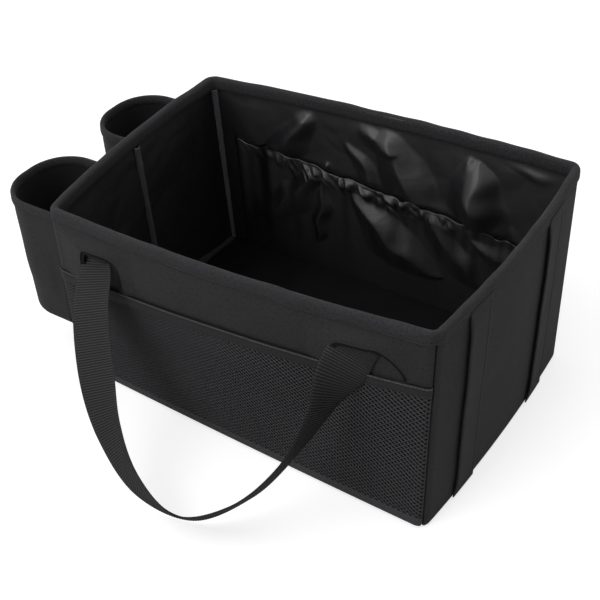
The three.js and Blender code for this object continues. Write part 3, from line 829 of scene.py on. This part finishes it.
def yoke_foot(p):
    """The lower edge of the upper panel, with its arches."""
    rise = 0
    for arch in ARCHES.values():
        left, right = [np.abs(p - arch["at"]) / abs(arch[end] - arch["at"]) for end in ("from", "to")]
        u = np.minimum(np.where(p < arch["at"], left, right), 1)
        power = np.where(p < arch["at"], *arch["power"])
        rise = np.maximum(rise, arch["rise"] * (1 - u**power) ** (1 / power))
    return net_top(p) + YOKE_LAP + rise


def yoke_depth(p, z):
    """How deep the outside of the upper panel lies: it swells out over each end of the strap."""
    swell = 0
    for arch in ARCHES.values():
        away = np.minimum(abs(girth(p) - girth(arch["middle"])) / ARCH_COVER, 1)
        swell = np.maximum(swell, arch["swell"] * np.cos(away * math.pi / 2) ** 1.2)
    settle = smooth(0, 16, rim_height(p) - RIM_LEG_OUT - z)
    return -SEAT - swell * settle - YOKE_THICK + outside_relief(p, z)


def under_arch(arch, count):
    """Places from end to end of an arch, closer together at its ends."""
    return mix(arch["from"], arch["to"], (1 - np.cos(np.linspace(0, math.pi, count))) / 2)


yoke_p = to_seams(FRONT, 2.6, np.concatenate([under_arch(arch, 40) for arch in ARCHES.values()]))
z = mix(yoke_foot(yoke_p), rim_height(yoke_p) - RIM_LEG_OUT + 4, np.linspace(0, 1, 30))
face = yoke_depth(yoke_p, z)
yoke = wall_sheet("upper_front_cloth", yoke_p, z, face, face + YOKE_THICK, oxford, "oxford_fabric",
                  ["front_yoke"])
print("upper panel:", len(yoke.data.polygons), "faces")

# %% Painted shadow: a dark strip under the edge of each arch
SHADOW_STRIP_THICK = 0.3
for side, arch in ARCHES.items():
    p = under_arch(arch, 70)
    edge = np.stack([girth(p), yoke_foot(p)], -1)
    slope = unit(np.gradient(edge, axis=0))
    normal = np.stack([-slope[:, 1], slope[:, 0]], -1)
    strip = edge[:, None] + normal[:, None] * np.linspace(-arch["hem"], 1.0, 4)[None, :, None]
    p, z = np.interp(strip[..., 0], GIRTHS, KNOTS), strip[..., 1]
    face = yoke_depth(p, z) + YOKE_THICK
    wall_sheet(f"arch_hem_{side}", p, z, face, face + SHADOW_STRIP_THICK, arch_painted_shadow, "binding_tape")
    print(side, "arch rises to", round(float(edge[:, 1].max())), "mm")

# %% [markdown]
# ## Net pocket
#
# Knitted net is a lattice of strands that run both ways across the cloth at 45 degrees. On a grid
# of half cells, the strands cross wherever row and column add up to an even number, and every odd
# place is the middle of a diamond, with a hole in it. The real openings are about 2 mm: cells of
# 5.2 by 4 mm are the finest that still show at this distance.

# %% Net pocket
NET_FOOT = 5
NET_HEM = 7
NET_THICK = 0.5
NET_BAND = 9
NET_BAND_LEFT = 13
NET_HEIGHT = (NET_TOP_LEFT + NET_TOP_RIGHT) / 2 - NET_BAND - NET_FOOT - NET_HEM
NET_WIDE = 5.2
NET_TALL = 4
NET_OPEN = (0.42, 0.27)
NET_STAND = 0.6
NET_LEAN = 1.5
KNOT_HIGH = 0.3


def band_foot(p):
    """The lower edge of the band that binds the pocket's top."""
    return net_top(p) - mix(NET_BAND_LEFT, NET_BAND, np.clip(p, 0, 1))


def net_skin(p, z, thick):
    """Points on the net, or proud of it by a thickness: its slack mouth hangs off the wall."""
    lean = NET_LEAN * np.sin(np.clip(p, 0, 1) * math.pi) ** 0.5 * smooth(0.55, 1.0, z / net_top(p))
    stand = NET_STAND * smooth(NET_FOOT, NET_FOOT + 2 * NET_HEM, z)
    return wall_point(p, z, -SEAT - lean - stand - thick + outside_relief(p, z))


def net_lattice():
    """Places and heights of the net's points, with its front faces and the edges of its holes."""
    first, last = girth(FRONT + SEAM), girth(FRONT + 2 - SEAM)
    wide = 2 * round((last - first) / NET_WIDE)
    high = 2 * round(NET_HEIGHT / NET_TALL)
    i, j = np.meshgrid(np.arange(wide + 1), np.arange(high + 1), indexing="ij")
    along = mix(first, last, i / wide)
    z = mix(NET_FOOT + NET_HEM, band_foot(np.interp(along, GIRTHS, KNOTS)) + 2, j / high)
    number = i * (high + 1) + j
    middle = ((i + j) % 2 == 1)[1:-1, 1:-1]
    round_it = [number[:-2, 1:-1], number[1:-1, :-2], number[2:, 1:-1], number[1:-1, 2:]]
    corners = [side[middle] for side in round_it]
    hole = number[1:-1, 1:-1][middle]
    points = []
    for flat in (along.ravel(), z.ravel()):
        across = NET_OPEN[0] * (flat[corners[1]] - flat[corners[0]])
        up = NET_OPEN[1] * (flat[corners[2]] - flat[corners[1]])
        points.append(np.concatenate([flat, *[flat[hole] + k * across + m * up
                                              for k, m in ((-1, -1), (1, -1), (1, 1), (-1, 1))]]))
    inner = [z.size + k * len(hole) + np.arange(len(hole)) for k in range(4)]
    quads = [np.stack([corners[k], corners[k - 3], inner[k - 3], inner[k]], -1) for k in range(4)]
    rims = [np.stack([inner[k], inner[k - 3]], -1) for k in range(4)]
    borders = [(number[0], number[1]), (number[-1], number[-2]), (number[:, 0], number[:, 1]),
               (number[:, -1], number[:, -2])]
    halves = [np.stack([edge[:-2:2], edge[2::2], inside[1:-1:2]], -1) for edge, inside in borders]
    ends = [half[:, :2] for half in halves]
    p = np.interp(points[0], GIRTHS, KNOTS)
    return p, points[1], z.size, quads + halves, np.concatenate(rims + ends)


p, z, grid_size, front_faces, edges = net_lattice()
used = np.unique(np.concatenate([face.ravel() for face in front_faces]))
place = np.zeros(len(p), int)
place[used] = np.arange(len(used))
knot = np.where(used < grid_size, KNOT_HIGH, 0)
p, z, count = p[used], z[used], len(used)
faces = []
for group in [place[face] for face in front_faces]:
    faces += group.tolist() + (group[:, ::-1] + count).tolist()
one, two = place[edges[:, 0]], place[edges[:, 1]]
faces += np.stack([one, two, two + count, one + count], -1).tolist()
points = np.concatenate([net_skin(p, z, NET_THICK + knot), net_skin(p, z, 0)])
flat = np.tile(np.stack([girth(p), z], -1), (2, 1))
net = add_piece("pocket_net", points, faces, flat, netting, ["net_pocket"])
print("net openings:", len(front_faces[0]))


# %% Hem, band and piping of the net pocket
def net_strip(name, p, z, face, back, *looks):
    return sheet(name, net_skin(p, z, face), net_skin(p, z, back), *looks)


hem_z = np.linspace(NET_FOOT, NET_FOOT + NET_HEM + 0.5, 5)
net_strip("net_hem", to_seams(FRONT, 3), hem_z, NET_THICK + 0.4, 0.1, netting, "pocket_net", ["net_pocket"])
p = to_seams(FRONT, 2.4)
t = np.linspace(0, 1, 9)
band_out = NET_THICK + 0.7 * np.sin(t * math.pi) ** 0.6 + 0.5
net_strip("pocket_band", p, mix(band_foot(p), net_top(p), t), band_out, 0.1, band_cloth, "binding_tape",
          ["net_pocket_binding"])
turn = np.linspace(0, math.pi, 7)
piping_out = NET_THICK + 0.9 + 0.4 * np.sin(turn)
net_strip("pocket_piping", p, net_top(p) - 0.6 + 0.6 * np.cos(turn), piping_out, piping_out - 0.5, twill,
          "binding_tape")
print("pocket band stands out", round(float(band_out.max()), 1), "mm")

# %% [markdown]
# ## Webbing handles
#
# Webbing is woven with thick weft, so ribs cross its width every 2.2 mm. Its route is a spline
# through stations that give the middle of the strap and the way that its width points, and the
# ribs are real geometry, swept along it. The handle behind is a copy of the one in front.


# %% Spline through the stations
def spline(points, t):
    """A centripetal Catmull-Rom curve through the points, at shares t of it from 0 to 1."""
    points = np.asarray(points, float)
    whole = np.concatenate([[2 * points[0] - points[1]], points, [2 * points[-1] - points[-2]]])
    place = np.asarray(t) * (len(points) - 1)
    first = np.minimum(place.astype(int), len(points) - 2)
    u = (place - first)[:, None]
    a, b, c, d = (whole[first + k] for k in range(4))
    ab, bc, cd = (np.linalg.norm(q - r, axis=1, keepdims=True) ** 0.5 for q, r in ((b, a), (c, b), (d, c)))
    leave = ((b - a) / ab - (c - a) / (ab + bc) + (c - b) / bc) * bc
    arrive = ((c - b) / bc - (d - b) / (bc + cd) + (d - c) / cd) * bc
    return (b + leave * u + (3 * (c - b) - 2 * leave - arrive) * u**2
            + (2 * (b - c) + leave + arrive) * u**3)


def lengths_along(path):
    """How far along a path each of its points is."""
    return np.cumsum(np.r_[0, np.linalg.norm(np.diff(path, axis=0), axis=1)])


print("lowest station:", min(at[2] for at, _ in WEB_STATIONS), "mm above the ground")

# %% Handles
WEB_TUCK = 7
RIB_HIGH = 0.5
RIB_RINGS = 5
SELVEDGE = 0.9
EDGE_THIN = 0.5
ACROSS_WEB = np.array([-1, -0.97, -SELVEDGE, -0.6, -0.3, 0, 0.3, 0.6, SELVEDGE, 0.97, 1])
ROUTE_STEPS = np.linspace(0, 1, 400)


def tucked(at, across):
    """A station past the end of the route, where the strap goes in behind the upper panel."""
    up = np.array([-across[2], across[0]]) / math.hypot(across[0], across[2])
    up = up if up[1] > 0 else -up
    return (at[0] + up[0] * WEB_TUCK, WEB_STAND, at[2] + up[1] * WEB_TUCK), (across[0], 0, across[2] * 0.35)


def handle(name, node, wall):
    side = 1 if wall == 0 else -1
    middles, widths = [], []
    for (x, out, z), across in [tucked(*WEB_STATIONS[0]), *WEB_STATIONS, tucked(*WEB_STATIONS[-1])]:
        face = wall_point(place_on_wall(wall, x, z), z, 0.0)
        middles.append([x, face[1] - side * out, z])
        along = wall_line(wall, z, place_share(wall, x, z))[1]
        plan = across[0] * side * along + 1j * across[1] * along
        widths.append([plan.real, plan.imag, across[2]])
    lengths = lengths_along(spline(middles, ROUTE_STEPS))
    s = np.linspace(0, lengths[-1], round(lengths[-1] / RIB_PITCH) * RIB_RINGS + 1)
    t = np.interp(s, lengths, ROUTE_STEPS)
    at = spline(middles, t)
    along = unit(np.gradient(at, axis=0))
    across = spline(widths, t)
    across = unit(across - along * (across * along).sum(1, keepdims=True))
    ribs = RIB_HIGH * np.abs(np.sin(s / RIB_PITCH * math.pi))[:, None]
    edge = np.abs(ACROSS_WEB)
    half = WEB_THICK / 2 - RIB_HIGH - EDGE_THIN * (edge == 1) + ribs * (edge <= SELVEDGE)
    middle = at[:, None] + across[:, None] * (ACROSS_WEB * WEB_WIDTH / 2)[None, :, None]
    out = np.cross(along, across)[:, None] * half[..., None]
    strap = sheet(name, middle + out, middle - out, webbing, "handle_webbing", [node], along=s)
    print(name, "length", round(lengths[-1]), "mm")


handle("front_webbing", "front_handle", 0)
handle("back_webbing", "back_handle", 2)

# %% [markdown]
# ## Bands on the right wall
#
# Two bands are sewn down over the wall. Their front edges stand off a little, which gives the dark
# line beside each.

# %% Bands
BANDS = {"front": -67, "rear": 67}
BAND_WIDTH = 32
BAND_THICK = 1.6
BAND_CLOTH = 1.2
BAND_LIFT = 2.0


def band_ends(y):
    return [place_on_wall(1, y + half * BAND_WIDTH / 2, HEIGHT) for half in (-1, 1)]


def band_depth(p, z, start, end):
    share = (p - start) / (end - start)
    lift = BAND_LIFT * (1 - share) ** 2 * between_edges(p, z, (0, 20), (8, 30))
    return -SEAT - BAND_THICK - lift + outside_relief(p, z)


for side, y in BANDS.items():
    start, end = band_ends(y)
    p = places(start, end, 1.6)[:, None]
    z = mix(FOOT_ROUND - 0.5, rim_height(p) - RIM_LEG_OUT + 4, np.linspace(0, 1, 70))
    depth = band_depth(p, z, start, end)
    band = wall_sheet(f"band_{side}", p, z, depth, depth + BAND_CLOTH, oxford, "binding_tape",
                      [f"right_band_{side}"])
print("bands:", len(BANDS))

# %% [markdown]
# ## Gathered pocket inside
#
# The pocket's edge is drawn in by elastic, so it puckers: short upright creases that fade a finger's
# width below the edge. The slack below falls in a few broad folds.

# %% Inner pocket
POUCH_FROM = 4.04
POUCH_TO = 4.96
POUCH_FOOT = 5.2
POUCH_SWELL = 2.2
POUCH_FACETS = [
    ((354, 30), (246, 130), 18, 0.5),
    ((256, 36), (244, 112), 9, 0.6),
    ((208, 114), (108, 48), 24, 0.44),
    ((128, 122), (62, 46), 15, 0.44),
    ((80, 102), (24, 92), 14, 0.35),
]
PUCKER = 2.8
PUCKER_DROP = 7
ELASTIC_EDGES = (0.2, 3)
ELASTIC_FOLLOWS = 0.6


def pouch_shape(p, z):
    """How deep the back of the pocket's cloth lies."""
    share = (p - POUCH_FROM) / (POUCH_TO - POUCH_FROM)
    ends = np.sin(np.clip(share, 0, 1) * math.pi) ** 0.5
    below = pouch_top(p) - z
    along = girth(p) - BACK_START
    creases = sum(facet(along, z, *crease) for crease in POUCH_FACETS)
    creases = creases * smooth(-2, 10, below) * smooth(0, 22, z - POUCH_FOOT)
    drop = np.maximum(below, 0) / PUCKER_DROP
    crumple = np.abs(ripples(along + 0.5 * below, 0.6 * below, 12, 41)) * smooth(60, 170, along)
    crumple = crumple * mix(1, 0.55, smooth(230, 320, along))
    pucker = PUCKER * crumple * drop * np.exp((1 - drop**2) / 2)
    return INSIDE + SEAT + ends * (POUCH_SWELL * smooth(0, 1, z / pouch_top(p)) + creases + pucker)


def pouch_edge(p):
    return pouch_top(p) + ripples(girth(p), 0, 16, 42)


p = places(POUCH_FROM, POUCH_TO, 1.5)[:, None]
z = mix(POUCH_FOOT, pouch_edge(p), np.linspace(0, 1, 110) ** 0.9)
depth = pouch_shape(p, z)
pouch = wall_sheet("gathered_pocket", p, z, depth + LINING, depth, pocket_taffeta_painted_shade, "coated_lining",
                   ["inner_pocket"])
z = pouch_edge(p) + np.linspace(*ELASTIC_EDGES, 6)
depth = mix(INSIDE + SEAT, pouch_shape(p, pouch_edge(p)), ELASTIC_FOLLOWS)
# The elastic takes the darker copy of the lining, a line of painted shade along the pocket's edge.
wall_sheet("pocket_elastic", p, z, depth + TRIM, depth, matt_taffeta_painted_shade, "binding_tape",
           ["inner_pocket_elastic"])
print("gathered pocket:", len(pouch.data.polygons), "faces")

# %% [markdown]
# ## Cup holders
#
# Each cup holder is a sleeve whose plan is a D against the left wall: two straight flanks and a
# round end. The same outline at other depths gives its bound lip and its lining.

# %% Outline of a cup holder
CUP_WIDTH = 86
CUP_REACH = 66
CUP_ROUND = 38
CUP_WALL = 2
CUP_TOP = 184
CUP_FOOT = 55
CUP_FLOOR = 2.5
CUP_TURN = 5
CUP_LIP = 9
CUP_TUCK = 4
CUP_BEND = np.linspace(0, math.pi / 2, 22)
CUP_FLANK = np.linspace(0, 1, 10)[:-1]
CUP_LINK = (0.33, 0.67)
CUPS = {"front": -81, "rear": 49}


def left_wall_x(y, z):
    """The outside of the left wall at y, for every height."""
    return wall_point(place_on_wall(3, y, z), z, -SEAT)[..., 0]


def cup_outline(y, z, depth):
    """Points round a cup holder, of columns and rows, for rows of heights and depths."""
    z, depth = np.broadcast_arrays(np.asarray(z, float), np.asarray(depth, float))
    centre = float(left_wall_x(y, CUP_TOP)) - CUP_REACH + CUP_ROUND

    def half(side):
        edge = y + side * (CUP_WIDTH / 2 - depth)
        wall_x = left_wall_x(edge, z) + CUP_TUCK * (np.abs(edge) > DEPTH / 2 - CORNER_RADIUS)
        hub = centre + 1j * (y + side * (CUP_WIDTH / 2 - CUP_ROUND))
        bend = [hub + (CUP_ROUND - depth) * (1j * side * math.cos(a) - math.sin(a)) for a in CUP_BEND]
        return [mix(wall_x, centre, t) + 1j * edge for t in CUP_FLANK] + bend

    first, last = half(-1), half(1)[::-1]
    columns = np.array([*first, *[mix(first[-1], last[0], t) for t in CUP_LINK], *last])
    return np.stack([columns.real, columns.imag, np.broadcast_to(z, columns.shape)], -1)


print("points round a cup holder:", len(cup_outline(CUPS["front"], [CUP_TOP], [0])))

# %% Cup holders
CUP_CURVE = np.array([(0, 9), (0, 5), (0.2, 2.2), (0.9, 0.8), (2.2, 0), (3.5, 0.8), (4.2, 2.2), (4.4, 5),
                      (4.4, 9)])
CUP_HUB_X = -205


def cup_relief(points, y, seed):
    """Soft unevenness of a sleeve: how far its points move away from the middle of the cup."""
    around = np.arctan2(points[..., 1] - y, points[..., 0] - CUP_HUB_X) * 40
    hold = smooth(0, 25, points[..., 2] - CUP_FOOT) * smooth(0, 25, CUP_TOP - points[..., 2])
    hold = hold * smooth(0, 12, left_wall_x(y, points[..., 2]) - points[..., 0])
    return np.maximum(0.5 + 0.6 * ripples(around, points[..., 2], 70, seed), 0) * hold


def cup_holder(name, y, seed):
    rise = np.linspace(CUP_FOOT + CUP_TURN, CUP_TOP - RIM_COVER, 44)[1:]
    foot_z, foot_depth = turned_edge(CUP_TURN)
    z = np.concatenate([CUP_FOOT + foot_z, rise])
    depth = np.concatenate([foot_depth, 0 * rise])
    front = cup_outline(y, z, depth)
    away = unit((front - [CUP_HUB_X, y, 0]) * [1, 1, 0])
    shift = away * cup_relief(front, y, seed)[..., None]
    back = cup_outline(y, np.maximum(z, CUP_FOOT + CUP_WALL * (z < CUP_FOOT + CUP_WALL)), depth + CUP_WALL)
    sleeve = sheet(f"cup_cloth_{name}", front + shift, back + shift, oxford, "oxford_fabric",
                   [f"cup_sleeve_{name}"])
    lip_z = CUP_TOP - CUP_CURVE[:, 1]
    lip_depth = mix(-SEAT - TRIM, CUP_WALL + SEAT + TRIM, CUP_CURVE[:, 0] / CUP_CURVE[-1, 0])
    skin = folded_skin(CUP_CURVE)
    under = cup_outline(y, lip_z - skin[:, 0], lip_depth - skin[:, 1])
    sheet(f"cup_tape_{name}", cup_outline(y, lip_z, lip_depth), under, binding, "binding_tape",
          [f"cup_lip_{name}"])
    z = np.linspace(CUP_FOOT + CUP_FLOOR + SEAT, CUP_TOP - CUP_LIP + 3, 36)
    front, back = [cup_outline(y, z, CUP_WALL + SEAT + thick) for thick in (LINING, 0)]
    lining = sheet(f"cup_inside_{name}", front, back, cup_lining, "coated_lining", [f"cup_lining_{name}"])


for seed, (name, y) in enumerate(CUPS.items()):
    cup_holder(name, y, 51 + seed)

# %% [markdown]
# ## Stitches
#
# A row of lockstitch is a chain of short thread bars. Each bar is a tiny spindle laid along a path
# just proud of the cloth, and one mesh holds a whole seam.

# %% Stitch rows
STITCH = 2.4
STITCH_PITCH = 3.6
STITCH_RADIUS = 0.24
STITCH_PROUD = 0.1
LEAN_AWAY = [0.3, 0.2, 0.93]
RIM_SEAMS = (8, 10)
ARCH_SEAM = 2.4
POCKET_SEAMS = (1.3, 1.6)
BAND_SEAMS = (0.08, 0.92)
CUP_SEAM = 7.4
DIVIDER_X = 65
SIDES = 6
SPINDLE = [(-0.5, 0.25), (-0.32, 1.0), (0.32, 1.0), (0.5, 0.25)]
LAST_RING = SIDES * (len(SPINDLE) - 1)
STITCH_FACES = [[a, b, b + SIDES, a + SIDES] for ring in range(0, LAST_RING, SIDES)
                for a, b in ((ring + k, ring + (k + 1) % SIDES) for k in range(SIDES))]
STITCH_FACES += [list(range(SIDES)), list(range(LAST_RING, LAST_RING + SIDES))]


def sew(name, paths):
    """One mesh of stitches along paths, each an array of points in millimetres."""
    points, faces = [], []
    for path in paths:
        length = lengths_along(path)
        count = max(1, int(length[-1] / STITCH_PITCH))
        for middle in (np.arange(count) + 0.5) * length[-1] / count:
            ends = [np.array([np.interp(middle + k * STITCH, length, path[:, i]) for i in range(3)])
                    for k in (-0.5, 0.5)]
            along = (ends[1] - ends[0]) / STITCH
            side = unit(np.cross(along, LEAN_AWAY))
            up = np.cross(side, along)
            faces += [[len(points) + corner for corner in face] for face in STITCH_FACES]
            for place, radius in SPINDLE:
                centre = mix(ends[0], ends[1], place + 0.5)
                for angle in np.linspace(0, math.tau, SIDES, endpoint=False):
                    spoke = side * math.cos(angle) + up * math.sin(angle)
                    points.append(centre + STITCH_RADIUS * radius * spoke)
    points = np.array(points)
    add_piece(name, points, faces, points[:, :2], thread)
    print(name, "stitches:", len(points) // (SIDES * len(SPINDLE)))


p = places(0, 8, 3)
sew("rim_stitches", [wall_point(p, rim_height(p) - RIM_SEAMS[0], rim_face(p) - STITCH_PROUD),
                     wall_point(p, rim_height(p) - RIM_SEAMS[1], RIM_INNER + STITCH_PROUD)])
edge_p = yoke_p[:, 0]
edge_z = yoke_foot(edge_p) + ARCH_SEAM
p = places(0, 1, 3)
sew("front_stitches", [
    wall_point(edge_p, edge_z, yoke_depth(edge_p, edge_z) - STITCH_PROUD),
    net_skin(p, band_foot(p) + POCKET_SEAMS[0], NET_THICK + 1.1),
    net_skin(p, net_top(p) - POCKET_SEAMS[1], NET_THICK + 1.15),
])
z = np.linspace(8, HEIGHT - RIM_LEG_OUT, 60)
band_rows = []
for start, end in map(band_ends, BANDS.values()):
    for share in BAND_SEAMS:
        p = np.full(len(z), mix(start, end, share))
        band_rows.append(wall_point(p, z, band_depth(p, z, start, end) - STITCH_PROUD))
sew("band_stitches", band_rows)
p = np.full(50, float(place_on_wall(2, DIVIDER_X, 90)))
z = np.linspace(POUCH_FOOT + 3, float(pouch_top(p[0])) - 2, 50)
sew("divider_stitches", [wall_point(p, z, pouch_shape(p, z) + LINING)])
cup_faces = (-SEAT - TRIM - STITCH_PROUD, CUP_WALL + SEAT + TRIM + STITCH_PROUD)
sew("cup_stitches", [cup_outline(y, [CUP_TOP - CUP_SEAM], [depth])[:, 0]
                     for y in CUPS.values() for depth in cup_faces])

# %% [markdown]
# ## Floor, light and background
#
# The photograph is lit from all sides by a white studio. A dim white world gives that, three big
# soft lamps give it a direction, and the floor is a pale plane that keeps the basket's shadow.
# What only the camera sees may be pure white without adding light to the object.

# %% Floor
FLOOR_HALF = 6.0
PAPER_GLOW = 0.66
floor_mesh = bpy.data.meshes.new("studio_floor")
floor_corners = [(x * FLOOR_HALF, y * FLOOR_HALF, 0) for x, y in ((-1, -1), (1, -1), (1, 1), (-1, 1))]
floor_mesh.from_pydata(floor_corners, [], [(0, 1, 2, 3)])
floor = add_object("studio_floor", floor_mesh)
paper, paper_tree, paper_shader = new_material("studio_paper")
rays = add_node(paper_tree, "LightPath")
glow = add_node(paper_tree, "Math", {0: rays.outputs["Is Camera Ray"], 1: PAPER_GLOW}, operation="MULTIPLY")
feed(paper_tree, paper_shader, {"Base Color": linear("c8c8c8"), "Roughness": 0.9,
                                "Emission Color": (1, 1, 1, 1), "Emission Strength": glow})
floor_mesh.materials.append(paper)

# %% World and lamps
WORLD_LIGHT = 0.42
LAMPS = [
    {"name": "key", "at": (-0.55, -1.6, 1.5), "size": 1.2, "power": 16},
    {"name": "left", "at": (-1.5, -0.8, 1.5), "size": 1.4, "power": 4},
    {"name": "top", "at": (0.0, -0.2, 1.9), "size": 1.6, "power": 10},
]
world = bpy.data.worlds.new("studio_world")
bpy.context.scene.world = world
world.use_nodes = True
sky_tree = world.node_tree
rays = add_node(sky_tree, "LightPath")
seen = rays.outputs["Is Camera Ray"]
for kind in ("Is Glossy Ray", "Is Transmission Ray"):
    seen = add_node(sky_tree, "Math", {0: seen, 1: rays.outputs[kind]}, operation="MAXIMUM")
level = add_node(sky_tree, "MapRange", {"Value": seen, "To Min": WORLD_LIGHT, "To Max": 1.0})
feed(sky_tree, sky_tree.nodes["Background"], {"Color": (1, 1, 1, 1), "Strength": level})
for lamp in LAMPS:
    data = bpy.data.lights.new(lamp["name"], "AREA")
    data.size = lamp["size"]
    data.energy = lamp["power"]
    light = add_object(lamp["name"], data)
    light.location = lamp["at"]
    light.rotation_euler = (-light.location).to_track_quat("-Z", "Y").to_euler()
bpy.context.scene.view_settings.view_transform = "Standard"
print("lamps:", len(LAMPS))

# %% Count the triangles
print("triangles:", sum(len(face.vertices) - 2 for piece in scene_pieces for face in piece.data.polygons))
